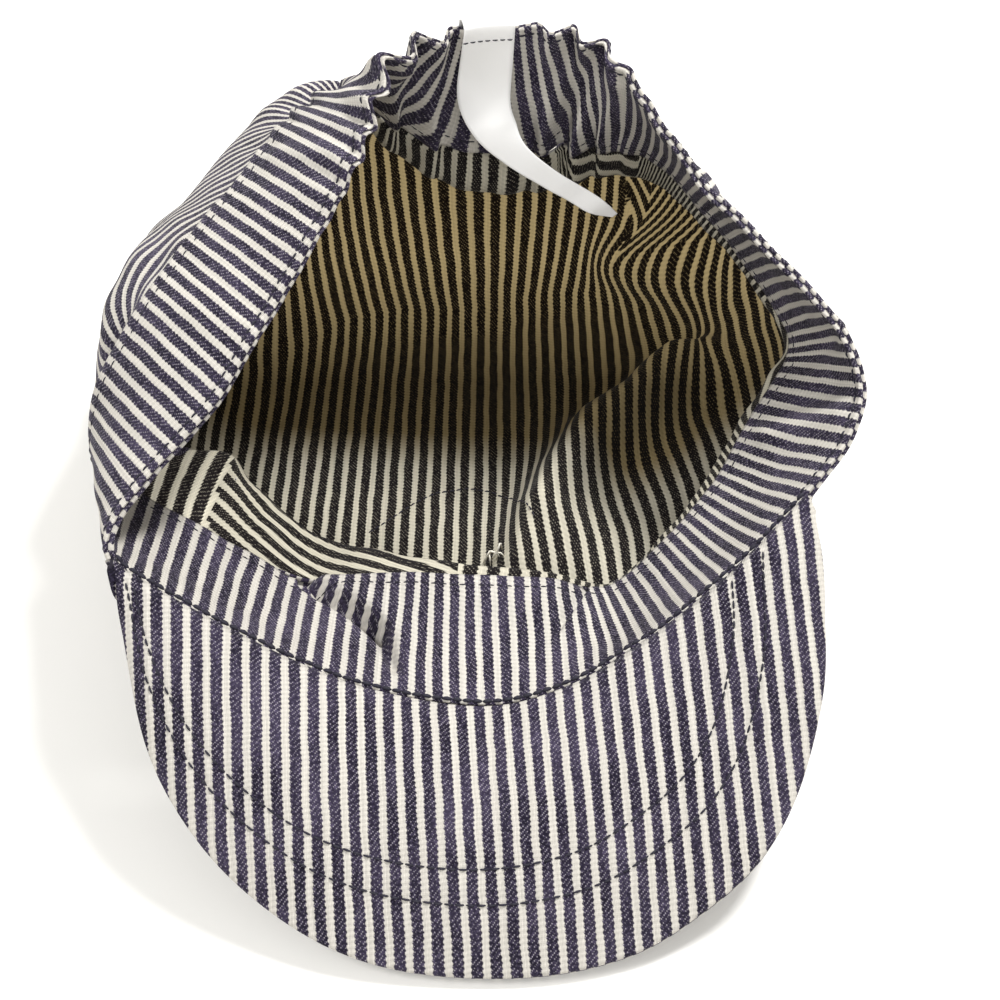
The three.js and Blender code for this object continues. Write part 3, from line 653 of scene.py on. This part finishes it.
crown_places, _ = even_places(CROWN_MESH_COLUMNS)
base, crown_angle = crown_grid(crown_places)
foot_row = sum(CROWN_STRETCHES)
soft = slice(foot_row - SMOOTHED_ROWS, foot_row + SMOOTHED_ROWS)
for _ in range(SMOOTHING_ROUNDS):
    base[:, soft] = (base[:, soft.start - 1:soft.stop - 1] + 2 * base[:, soft]
                     + base[:, soft.start + 1:soft.stop + 1]) / 4
fade_rows = CROWN_STRETCHES[0] + CROWN_STRETCHES[1]
row_number = np.arange(base.shape[1])
fade = np.clip(1 - row_number / fade_rows, 0, 1)
ruffle = gather_wave(crown_places)[:, None] * fade[None, :]
base = base + band_normal(crown_places)[:, None, :] * ruffle[..., None]
plain = grid_normals(base)
seamless = np.clip(row_number / 4, 0, 1)
slump = sum(deep * ripple(base, size, seed) for deep, size, seed in SLUMPS) * seamless
hold = np.clip(row_number / 6, 0, 1)[None, :, None]
middle = base - plain * slump[..., None] + (folded(base) - base) * hold
normals = grid_normals(middle)
normals[:, 0] = band_normal(crown_places)


def crown_side(offset):
    moved = middle + normals * offset
    moved[..., 2] = np.maximum(moved[..., 2], CLOTH / 2 - offset)
    return moved


crown_out = crown_side(CLOTH / 2)
crown_in = crown_side(-CLOTH / 2)
rows = base.shape[1]

# Pattern coordinates: the crown was cut flat with its stripes from front to back, so on the
# wall they go on from the flat part by the length of cloth above it
steps = np.linalg.norm(np.diff(base, axis=1), axis=2)
above = np.zeros(base.shape[:2])
for j in range(foot_row - 1, -1, -1):
    above[:, j] = above[:, j + 1] + steps[:, j]
foot = base[:, foot_row]
cos_a, sin_a = np.cos(crown_angle)[:, None], np.sin(crown_angle)[:, None]
flat_x = np.where(row_number < foot_row, foot[:, None, 0], base[..., 0])
flat_y = np.where(row_number < foot_row, foot[:, None, 1], base[..., 1])
crown_u = flat_x + above * cos_a * np.abs(cos_a)**2
bearings = np.mod(np.degrees(crown_angle), 360)[:, None]
on_bulge = bearings < BULGE_BEARING - row_number / 2
last_row = CROWN_STRETCHES[0] + np.where(on_bulge, BULGE_ROWS, TURNED_ROWS)
turned_back = ((row_number <= last_row) & (bearings > TURNED_BEARINGS[0])
               & (bearings < TURNED_BEARINGS[1]))
along_fold = np.radians(TURNED_STRIPES)
slanted = base[..., 1] * math.cos(along_fold) - base[..., 0] * math.sin(along_fold)
from_corner = bearings - CREASE_CORNER
crease_above = CREASE_HEIGHT + np.where(from_corner > 0, CREASE_RISE[1], CREASE_RISE[0]) * from_corner
on_right = (bearings > CREASE_BEARINGS[0]) & (bearings < CREASE_BEARINGS[1])
crown_u = crown_u - CREASE_SLANT * np.clip(above - crease_above, 0, None) * on_right
crown_v = flat_y + above * sin_a
# The three patterns: plain, turned back, and the puffed end of the cloth turned back
crown_u = np.stack([crown_u, slanted, base[..., 0]])
crown_region = np.where(turned_back, np.where(on_bulge, 2, 1), 0)


def wall_faces(columns, rows, uv_u, uv_v, region, reverse_slot):
    """Faces of a thin wall round a loop, with its edge, and their UVs and slots. Each face
    takes its u from the pattern of the region that its first corner is in."""
    faces, corners = grid_faces(columns, rows, True)
    pattern = region[corners[:, :1, 0] % columns, corners[:, :1, 1]]
    u = uv_u[pattern, corners[..., 0] % columns, corners[..., 1]]
    v = uv_v[corners[..., 0] % columns, corners[..., 1]]
    uv = np.stack([u, v], -1)
    inner = faces + columns * rows
    i = np.arange(columns)
    j = (i + 1) % columns
    top = np.stack([i * rows, j * rows, j * rows + columns * rows, i * rows + columns * rows], 1)
    top_uv = np.stack([np.stack([uv_u[0, k, 0], uv_v[k, 0]], -1) for k in (i, j, j, i)], 1)
    all_faces = np.concatenate([faces[:, ::-1], inner, top])
    all_uv = np.concatenate([uv[:, ::-1], uv, top_uv])
    slots = np.repeat([0, reverse_slot, 0], [len(faces), len(inner), len(top)])
    return all_faces, all_uv, slots


crown_faces, crown_uv, crown_slots = wall_faces(
    CROWN_MESH_COLUMNS, rows, crown_u, crown_v, crown_region, 1)
vertices = np.concatenate([crown_out.reshape(-1, 3), crown_in.reshape(-1, 3)]) + SHIFT
crown = finish_mesh("crown_cloth", vertices, crown_faces, crown_uv, crown_slots)

# Reverse of the same cloth: the navy stripes are browner and more of the ecru weft flecks
# them. Deep in the hollow a warm painted shade darkens it, and a painted glow stands in for
# the light that comes through the cloth.
reverse_denim = denim("hickory_denim_reverse", navy="#141011", ecru="#c6c0ae", fleck="#9c9687",
                      worn="#272226", fleck_share=0.75, edge_fleck=0.2, wear=0.15, gloss=0.1,
                      roughness=0.9, painted_shade_tint="#b8a988")
crown.data.materials.append(face_denim)
crown.data.materials.append(reverse_denim)
# x and y of the painted shadow's edge, beyond which the inside is painted as shade that no sunlight
# reaches
PAINTED_SHADOW_EDGE = np.array([(-60, 32), (20, 26), (43, 12), (60, 20), (75, 36), (95, 46)])
EDGE_SOFTNESS = 16
# Where the painted glow starts: the axis, the place on it, and how far the rise takes
PAINTED_GLOW_RISE = ((2, 6, 60), (1, 66, 70))
PAINTED_PUFF_GLOW = 0.5
edge_y = np.interp(crown_in[..., 0], PAINTED_SHADOW_EDGE[:, 0], PAINTED_SHADOW_EDGE[:, 1])
painted_shadow_share = np.clip((crown_in[..., 1] - edge_y) / EDGE_SOFTNESS, 0, 1)
below_seam = np.clip((row_number - 6) / 6, 0, 1)[None, :]
# Painted shade mask: behind the painted shadow's edge and clear of the seam
depth = painted_shadow_share * below_seam
rise = sum((crown_in[..., axis] - start) / reach for axis, start, reach in PAINTED_GLOW_RISE)
# A painted glow makes the puff at the left end of the cloth turned back look sunlit
painted_glow = np.maximum(depth * np.clip(rise, 0, 1), PAINTED_PUFF_GLOW * (crown_region == 2))
# The painted shade and the painted glow are stored on the cloth as the depth and through attributes
for attribute, amount in (("depth", depth), ("through", painted_glow)):
    layer = crown.data.attributes.new(attribute, "FLOAT", "POINT")
    layer.data.foreach_set("value", np.tile(amount.ravel(), 2).astype(np.float32))
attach(crown, "root")
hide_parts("crown")

# Brim. Denim on both faces over a stiff board, turned in along its edge and quilted with
# two rows of stitching, and sewn into the front of the band.
BRIM_DEPTH = 64
BRIM_WIDTH = 186
BRIM_WALL = 3.2
BRIM_BOW = 5
# The ends of its seam, as shares of the way round the rim
BRIM_RIGHT_SHARE = 0.154
BRIM_LEFT_SHARE = 0.811
# share along the seam from the right, x of half the width, out and up of the depth
BRIM = np.array([
    (0.00, 0.91, -0.65, 0.88),
    (0.05, 0.93, -0.48, 0.78),
    (0.11, 0.93, -0.26, 0.65),
    (0.17, 0.91, 0.02, 0.51),
    (0.24, 0.83, 0.35, 0.33),
    (0.31, 0.71, 0.60, 0.22),
    (0.38, 0.54, 0.78, 0.12),
    (0.45, 0.35, 0.91, 0.04),
    (0.53, 0.09, 0.98, 0.01),
    (0.61, -0.22, 0.97, 0.02),
    (0.69, -0.46, 0.89, 0.08),
    (0.77, -0.68, 0.72, 0.19),
    (0.84, -0.84, 0.52, 0.33),
    (0.90, -0.96, 0.26, 0.50),
    (0.95, -1.03, -0.10, 0.74),
    (1.00, -1.07, -0.30, 0.88),
])


def brim_row(share):
    """Row of the outline's table at a share of the seam, with one side kept at its ends."""
    last = len(BRIM) - 1
    i = np.clip(np.searchsorted(BRIM[:, 0], share, side="right") - 1, 0, last - 1)
    t = (share - BRIM[i, 0]) / (BRIM[i + 1, 0] - BRIM[i, 0])

    def at(k):
        return BRIM[np.clip(k, 0, last)]
    return smooth(at(i - 1), at(i), at(i + 1), at(i + 2), np.clip(t, 0, 1)[:, None])


def brim_place(share):
    return STATIONS * (BRIM_RIGHT_SHARE + (BRIM_LEFT_SHARE - 1 - BRIM_RIGHT_SHARE) * share)


def brim_seam(share):
    place = brim_place(share)
    return rim_point(place) - lean_at(place) * 2 * SEAM_GAP


def brim_edge(share):
    row = brim_row(share)
    return np.stack([row[:, 1] * BRIM_WIDTH / 2,
                     -OPENING_LENGTH / 2 - row[:, 2] * BRIM_DEPTH,
                     BRIM_WALL / 2 + row[:, 3] * BRIM_DEPTH], -1)


def brim_surface(share, out):
    """Middle of the brim; share and out are flat lists of the same length."""
    seam, edge = brim_seam(share), brim_edge(share)
    point = seam + (edge - seam) * out[:, None]
    point[:, 2] += BRIM_BOW * np.sin(math.pi * out) * np.sin(math.pi * share)
    return point


def brim_normal(share, out):
    step = 0.004
    low, high = np.clip(share - step, 0, 1), np.clip(share + step, 0, 1)
    across = brim_surface(high, out) - brim_surface(low, out)
    further, nearer = np.minimum(out + step, 1), np.maximum(out - step, 0)
    outward = brim_surface(share, further) - brim_surface(share, nearer)
    return unit(np.cross(across, outward))


BRIM_MESH_COLUMNS = 260
BRIM_MESH_ROWS = 34
BRIM_LOBE = BRIM_WALL / 4
# How far from its edge the two rows of stitches run, and how they pinch the brim
BRIM_STITCH_ROWS = (18, 27)
QUILT_DEPTH = 0.22
QUILT_HALF = 1.1
BRIM_EDGE_ROWS = 6
share_line = np.linspace(0, 1, BRIM_MESH_COLUMNS)
brim_length = np.linalg.norm(brim_edge(share_line) - brim_seam(share_line), axis=1)

# Section of the brim: out to the edge on the upper face, round two folded edges, and back
angles = np.radians(np.linspace(10, 150, BRIM_EDGE_ROWS))
edge_back = np.concatenate([BRIM_LOBE * 1.5 * (1 - np.sin(angles)),
                            BRIM_LOBE * 1.5 * (1 - np.sin(angles[::-1]))])
edge_off = np.concatenate([BRIM_LOBE * (1 + np.cos(angles)), -BRIM_LOBE * (1 + np.cos(angles[::-1]))])
lower_lobe = np.arange(2 * BRIM_EDGE_ROWS) >= BRIM_EDGE_ROWS
edge_back = edge_back - np.where(lower_lobe, 0.5, 0)
face_shares = np.linspace(0, 1, BRIM_MESH_ROWS)
columns = []
for k, share in enumerate(share_line):
    length = brim_length[k]
    reach = np.maximum(length - 1.8, 0.2) / length
    out = np.concatenate([face_shares * reach, 1 - edge_back / length, face_shares[::-1] * reach])
    off = np.concatenate([np.full(BRIM_MESH_ROWS, 2 * BRIM_LOBE), edge_off,
                          np.full(BRIM_MESH_ROWS, -2 * BRIM_LOBE)])
    shares = np.full(len(out), share)
    on_face = np.minimum(out, 1)
    back = (1 - on_face) * length
    for row in BRIM_STITCH_ROWS:
        off = off * (1 - QUILT_DEPTH * np.exp(-((back - row) / QUILT_HALF)**2))
    point = brim_surface(shares, out)
    normal = brim_normal(shares, np.minimum(out, 0.999))
    normal[np.isclose(out, 0)] = -band_normal(np.array([brim_place(share)]))[0]
    point = point + normal * off[:, None]
    point[:, 2] = np.maximum(point[:, 2], 0.1)
    columns.append(point)
brim_grid = np.stack(columns)
brim_rows = brim_grid.shape[1]
brim_faces, brim_corners = grid_faces(BRIM_MESH_COLUMNS, brim_rows, False, True)
BRIM_STRIPE_LEAN = 0.08
flat_u = brim_grid[..., 0] + BRIM_STRIPE_LEAN * brim_grid[..., 1]
flat_v = -brim_grid[..., 1] * 1.15
below = np.arange(brim_rows) >= BRIM_MESH_ROWS + BRIM_EDGE_ROWS
flat_u = flat_u + np.where(below, STRIPE_PITCH / 2, 0)[None, :]
corner_rows = brim_corners[..., 1] % brim_rows
brim_uv = np.stack([flat_u[brim_corners[..., 0], corner_rows],
                    flat_v[brim_corners[..., 0], corner_rows]], -1)
brim_caps = end_caps(BRIM_MESH_COLUMNS, brim_rows)
brim_uv = np.concatenate([brim_uv, np.full((len(brim_caps), 4, 2), STRIPE_PITCH / 2)])
brim = finish_mesh("brim_cloth", brim_grid.reshape(-1, 3) + SHIFT,
                   np.concatenate([brim_faces, brim_caps]), brim_uv)
brim.data.materials.append(face_denim)
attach(brim, "root")
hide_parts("brim")

# Care label. A bare white satin ribbon folded over the rim at the back and caught by one
# row of stitches; its free end has curled and hangs twisting into the hollow.
LABEL_WIDTH = 15.5
LABEL_LENGTH = 78
LABEL_WALL = 0.35
LABEL_SLACK = 0.8
LABEL_STATION = 0.4833 * STATIONS
# Side of the band from outside, -1, to inside, 1, and up over the rim; then across, inward
# and down as shares of the length, the width that is left, the turn and how free it hangs
LABEL = np.array([
    (-1, 0, 0, 0, 0.11, 1, 0, 0),
    (-1, 0, 0, 0, 0, 1, 0, 0),
    (-0.7, 0.7, 0, 0, 0, 1, 0, 0),
    (0, 1, 0, 0, 0, 1, 0, 0),
    (0.7, 0.7, 0, 0, 0, 1, 0, 0),
    (1, 0, 0, 0, 0, 1, 0, 0),
    (1, 0, 0, 0, 0.12, 1, 0, 0.1),
    (1, 0, 0, 0.03, 0.25, 1, 2, 0.5),
    (1, 0, 0.04, 0.07, 0.35, 0.86, 12, 1),
    (1, 0, 0.11, 0.12, 0.43, 0.56, 34, 1),
    (1, 0, 0.23, 0.17, 0.51, 0.42, 50, 1),
    (1, 0, 0.35, 0.20, 0.58, 0.38, 54, 1),
    (1, 0, 0.45, 0.22, 0.64, 0.36, 50, 1),
    (1, 0, 0.53, 0.22, 0.69, 0.12, 42, 1),
])
LABEL_STEPS = 8
LABEL_ACROSS = 14

clearance = BAND_WALL / 2 + SEAM_GAP + LABEL_SLACK
station_length = math.dist(rim_point(LABEL_STATION + 0.5), rim_point(LABEL_STATION - 0.5))
label_inward = -band_normal(LABEL_STATION)
label_down = lean_at(LABEL_STATION)
label_right = -rim_tangent(LABEL_STATION)
label_columns = []
last = len(LABEL) - 1
for k in range(last * LABEL_STEPS + 1):
    i = min(k // LABEL_STEPS, last - 1)
    t = k / LABEL_STEPS - i
    near = [LABEL[min(max(n, 0), last)] for n in (i - 1, i, i + 1, i + 2)]
    side, up, across, inward, down, width, turn, free = smooth(*near, t)
    line = []
    for share in np.linspace(-1, 1, LABEL_ACROSS + 1):
        half = share * width * LABEL_WIDTH / 2
        place = LABEL_STATION - half / station_length
        below_rim = down * LABEL_LENGTH
        bow = BAND_BOW * math.sin(math.pi * np.clip(below_rim / BAND_HEIGHT, 0, 1))
        sewn = (rim_point(place) + lean_at(place) * (below_rim - up * clearance)
                + band_normal(place) * (bow - side * clearance))
        turned = math.radians(turn)
        hung = (rim_point(LABEL_STATION)
                + label_inward * (side * clearance + inward * LABEL_LENGTH)
                + label_down * (below_rim - half * math.sin(turned))
                + label_right * (across * LABEL_LENGTH + half * math.cos(turned)))
        line.append(sewn + (hung - sewn) * np.clip(free, 0, 1))
    label_columns.append(line)
label_middle = np.array(label_columns)
label_along = np.gradient(label_middle, axis=0)
label_across = np.gradient(label_middle, axis=1)
label_face = unit(np.cross(label_across, label_along))
free_share = np.linspace(0, 1, len(label_middle))[:, None]
label_middle += label_face * (0.5 * ripple(label_middle, 15, 21) * free_share)[..., None]
label_front = label_middle + label_face * LABEL_WALL / 2
label_back = label_middle - label_face * LABEL_WALL / 2
label_loop = np.concatenate([label_front, label_back[:, ::-1]], axis=1)
label_faces, _ = grid_faces(len(label_loop), label_loop.shape[1], False, True)
label_faces = np.concatenate([label_faces, end_caps(len(label_loop), label_loop.shape[1])])
label_object = finish_mesh("care_label_ribbon", label_loop.reshape(-1, 3) + SHIFT, label_faces,
                           np.zeros((len(label_faces), 4, 2)))

# White satin ribbon, polyester, woven fine and pressed: a soft even sheen across its length
satin, tree = new_material("white_satin_ribbon")
place = add_node(tree, "ShaderNodeTexCoord").outputs["Object"]
stretch = add_node(tree, "ShaderNodeMapping", None, vector=place, scale=(400, 400, 2600))
grain = add_node(tree, "ShaderNodeTexNoise", None, vector=stretch.outputs[0], scale=1.0, detail=2.0)
bump = add_node(tree, "ShaderNodeBump", None, strength=0.25, distance=0.00008, height=grain.outputs[0])
shader = add_node(tree, "ShaderNodeBsdfPrincipled", None, base_color=linear("#fbfaf8"),
                  roughness=0.42, sheen_weight=0.2, normal=bump.outputs[0])
shader.inputs["Anisotropic"].default_value = 0.4
shader.inputs["Specular IOR Level"].default_value = 0.35
add_node(tree, "ShaderNodeOutputMaterial", None, surface=shader.outputs[0])
label_object.data.materials.append(satin)
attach(label_object, "root")
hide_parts("care_label")
ribbon_steps = np.diff(label_middle[:, LABEL_ACROSS // 2], axis=0)

# Stitching. Dark cotton-wrapped polyester thread, lockstitch, pulled down into the cloth at
# each hole so that every stitch stands up as a small bridge.
THREAD_RADIUS = 0.32
STITCH_SHARE = 0.86
STITCH_RINGS = 5
STITCH_SIDES = 6


def stitch_row(name, path, outward, material, pitch=STITCH_PITCH, radius=THREAD_RADIUS,
               sink=0.25, rise=0.28):
    """One row of stitches along a path on the cloth, with the way off the cloth at each point."""
    lengths = np.concatenate([[0], np.cumsum(np.linalg.norm(np.diff(path, axis=0), axis=1))])
    count = max(int(lengths[-1] // pitch), 1)
    starts = np.arange(count) * lengths[-1] / count
    ring_t = np.linspace(0, 1, STITCH_RINGS)
    at = starts[:, None] + ring_t[None, :] * pitch * STITCH_SHARE
    point = np.stack([np.interp(at, lengths, path[:, k]) for k in range(3)], -1)
    off = unit(np.stack([np.interp(at, lengths, outward[:, k]) for k in range(3)], -1))
    arch = np.sin(math.pi * ring_t)**0.7 * (rise + sink) - sink
    point = point + off * arch[None, :, None]
    along = unit(np.gradient(point, axis=1))
    side = unit(np.cross(along, off))
    up = np.cross(side, along)
    turn = np.arange(STITCH_SIDES) * 2 * math.pi / STITCH_SIDES
    fat = radius * (0.55 + 0.45 * np.sin(math.pi * ring_t))[None, :, None, None]
    tube = point[:, :, None] + fat * (side[:, :, None] * np.cos(turn)[None, None, :, None]
                                      + up[:, :, None] * np.sin(turn)[None, None, :, None])
    faces, _ = grid_faces(STITCH_SIDES, STITCH_RINGS, True)
    order = np.arange(STITCH_SIDES * STITCH_RINGS).reshape(STITCH_RINGS, STITCH_SIDES).T.ravel()
    one = order[faces]
    ends = [np.arange(STITCH_SIDES)[::-1], np.arange(STITCH_SIDES) + (STITCH_RINGS - 1) * STITCH_SIDES]
    quads = np.concatenate([one, np.stack([end[[0, 1, 2, 3]] for end in ends]),
                            np.stack([end[[0, 3, 4, 5]] for end in ends])])
    size = STITCH_SIDES * STITCH_RINGS
    all_faces = (quads[None] + (np.arange(count) * size)[:, None, None]).reshape(-1, 4)
    uv = np.zeros((len(all_faces), 4, 2))
    piece = finish_mesh(name, tube.reshape(-1, 3) + SHIFT, all_faces, uv)
    piece.data.materials.append(material)
    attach(piece, "root")
    return piece


# Navy sewing thread, spun polyester, matt with a slight fuzz and a twist too fine to show
navy_thread, tree = new_material("navy_sewing_thread")
place = add_node(tree, "ShaderNodeTexCoord").outputs["Object"]
twist = add_node(tree, "ShaderNodeTexNoise", None, vector=place, scale=2500.0, detail=1.0)
tone = add_node(tree, "ShaderNodeValToRGB", None, fac=twist.outputs[0])
tone.color_ramp.elements[0].color = linear("#0d0b16")
tone.color_ramp.elements[1].color = linear("#2b2838")
bump = add_node(tree, "ShaderNodeBump", None, strength=0.3, distance=0.00006, height=twist.outputs[0])
shader = add_node(tree, "ShaderNodeBsdfPrincipled", None, base_color=tone.outputs[0],
                  roughness=0.75, normal=bump.outputs[0])
add_node(tree, "ShaderNodeOutputMaterial", None, surface=shader.outputs[0])

SEAM_STITCH_UP = 3.5
loop_places = np.linspace(0, STATIONS, 1501)
brim_places = brim_place(np.linspace(0, 1, 700))
free_rim = np.linspace(brim_places[0], brim_places[-1] + STATIONS, 1100)
for side_name, side in (("outside", 1), ("inside", -1)):
    path = band_point(free_rim, EDGE_STITCH_DOWN, side * BAND_WALL * 0.36)
    stitch_row(f"rim_stitches_{side_name}", path, side * band_normal(free_rim), navy_thread)
    outward = side * band_normal(loop_places)
    path = band_point(loop_places, BAND_HEIGHT - SEAM_STITCH_UP, side * BAND_WALL / 2)
    stitch_row(f"seam_stitches_{side_name}", path, outward, navy_thread,
               radius=0.2, rise=0.15)

# The seam between brim and band: heavier thread, seen in the groove from above
path = band_point(brim_places, 0.9, -BAND_WALL * 0.5)
stitch_row("brim_seam_stitches", path, -band_normal(brim_places), navy_thread,
           radius=0.62, rise=0.2)

# The stitches that hold the label to the band
label_row = 5 * LABEL_STEPS + 3
label_path = min(label_front[label_row], label_back[label_row], key=lambda line: line[0, 1])
stitch_row("label_stitches", label_path, np.tile(label_inward, (LABEL_ACROSS + 1, 1)), navy_thread,
           pitch=2.0, radius=0.2, rise=0.25)

# The curved seam that shows on the flat part, as x and y from the rest centre, and a tuft
# of cut ecru thread beside it
CROWN_SEAM = ((-39, -26), (-31, -19.5), (-24, -13.5), (-17, -9), (-7, -7), (1, -8.5), (8, -13),
              (12, -23), (15, -30))
FLAT_PART_TOP = 30
seam_line = np.array(CROWN_SEAM, float)
seam_at = np.linspace(0, len(seam_line) - 1, 90)
seam_line = np.stack([np.interp(seam_at, np.arange(len(seam_line)), seam_line[:, k])
                      for k in (0, 1)], -1) + REST_CENTRE[:2]


def on_crown_floor(places):
    """Points of the crown's inner face at these places in plan."""
    flat = crown_in.reshape(-1, 3)
    flat = flat[flat[:, 2] < FLAT_PART_TOP]
    nearest = [np.argmin(np.sum((flat[:, :2] - place)**2, axis=1)) for place in places]
    return np.column_stack([places, flat[nearest, 2]])


upwards = np.array([[0.0, 0.0, 1.0]])
stitch_row("crown_stitches", on_crown_floor(seam_line), np.repeat(upwards, len(seam_line), 0),
           navy_thread, pitch=2.4, radius=0.26, rise=0.3)

ecru_thread, tree = new_material("ecru_cotton_thread")
shader = add_node(tree, "ShaderNodeBsdfPrincipled", None, base_color=linear("#efeadc"), roughness=0.9)
add_node(tree, "ShaderNodeOutputMaterial", None, surface=shader.outputs[0])
# from x, y, to x, y, and how high the loop stands
TUFT = ((-1, -41, 3, -38, 5), (1, -42, 0, -37, 4), (3, -41, 5, -37, 6), (1, -40, 6, -41, 3),
        (4, -40, -2, -39, 4))
for number, (x0, y0, x1, y1, high) in enumerate(TUFT):
    ends = on_crown_floor(np.array([[x0, y0], [x1, y1]]) + REST_CENTRE[:2])
    reach = math.dist(ends[0], ends[1])
    stitch_row(f"loose_thread_{number + 1}", ends, np.repeat(upwards, 2, 0), ecru_thread,
               pitch=reach, radius=0.3, sink=0, rise=high)

for number, back in enumerate(BRIM_STITCH_ROWS):
    shares = np.linspace(0.0, 1.0, 500)
    length = np.linalg.norm(brim_edge(shares) - brim_seam(shares), axis=1)
    keep = length > back + 1
    out = 1 - back / length[keep]
    for side_name, side in (("under", 1), ("upper", -1)):
        outward = side * brim_normal(shares[keep], out)
        path = brim_surface(shares[keep], out) + outward * BRIM_WALL * 0.42
        stitch_row(f"brim_stitches_{number + 1}_{side_name}", path, outward, navy_thread,
                   radius=0.3, rise=0.3)

# Surface, light and camera: a pale table in soft, very bright light from the upper right
floor_size = 3.0
floor_mesh = bpy.data.meshes.new("pale_surface")
half = floor_size / 2
floor_mesh.from_pydata([(-half, -half, 0), (half, -half, 0), (half, half, 0), (-half, half, 0)],
                       [], [(0, 1, 2, 3)])
surface = bpy.data.objects.new("pale_surface", floor_mesh)
bpy.context.scene.collection.objects.link(surface)
paper, tree = new_material("white_seamless_paper")
shader = add_node(tree, "ShaderNodeBsdfPrincipled", None, base_color=linear("#f7f6f2"), roughness=0.9,
                  emission_color=linear("#fff9f0"), emission_strength=0.08)
add_node(tree, "ShaderNodeOutputMaterial", None, surface=shader.outputs[0])
floor_mesh.materials.append(paper)

world = bpy.data.worlds.new("bright_room")
world.use_nodes = True
world.node_tree.nodes["Background"].inputs["Color"].default_value = (1.0, 0.995, 0.985, 1)
world.node_tree.nodes["Background"].inputs["Strength"].default_value = 0.62
bpy.context.scene.world = world
bpy.context.scene.view_settings.view_transform = "Standard"


def soft_light(name, place, aim, size, power):
    light = bpy.data.lights.new(name, "AREA")
    light.shape = "DISK"
    light.size = size
    light.energy = power
    lamp = bpy.data.objects.new(name, light)
    bpy.context.scene.collection.objects.link(lamp)
    lamp.location = place
    way = np.array(aim) - np.array(place)
    level = math.hypot(way[0], way[1])
    lamp.rotation_euler = (math.atan2(level, -way[2]), 0, math.atan2(-way[0], way[1]))
    return lamp


soft_light("key", (0.42, 0.35, 0.95), (0, 0, 0.03), 0.24, 12.5)
soft_light("left_window", (-0.7, -0.12, 0.9), (0, 0, 0.03), 0.35, 4)
soft_light("front_fill", (0.1, -0.9, 0.9), (0, 0.05, 0.05), 0.7, 2)

FOCAL_PIXELS = 1200
PHOTO_PIXELS = 1000
CAMERA_BACK = 243
CAMERA_UP = 309.2
CAMERA_ELEVATION = 50
camera_data = bpy.data.cameras.new("camera")
camera_data.sensor_width = 36
camera_data.lens = 36 * FOCAL_PIXELS / PHOTO_PIXELS
camera_data.clip_start = 0.01
camera = bpy.data.objects.new("camera", camera_data)
bpy.context.scene.collection.objects.link(camera)
camera.location = (np.array([0, -CAMERA_BACK, CAMERA_UP]) + SHIFT) * MM
camera.rotation_euler = (math.radians(90 - CAMERA_ELEVATION), 0, 0)
bpy.context.scene.camera = camera
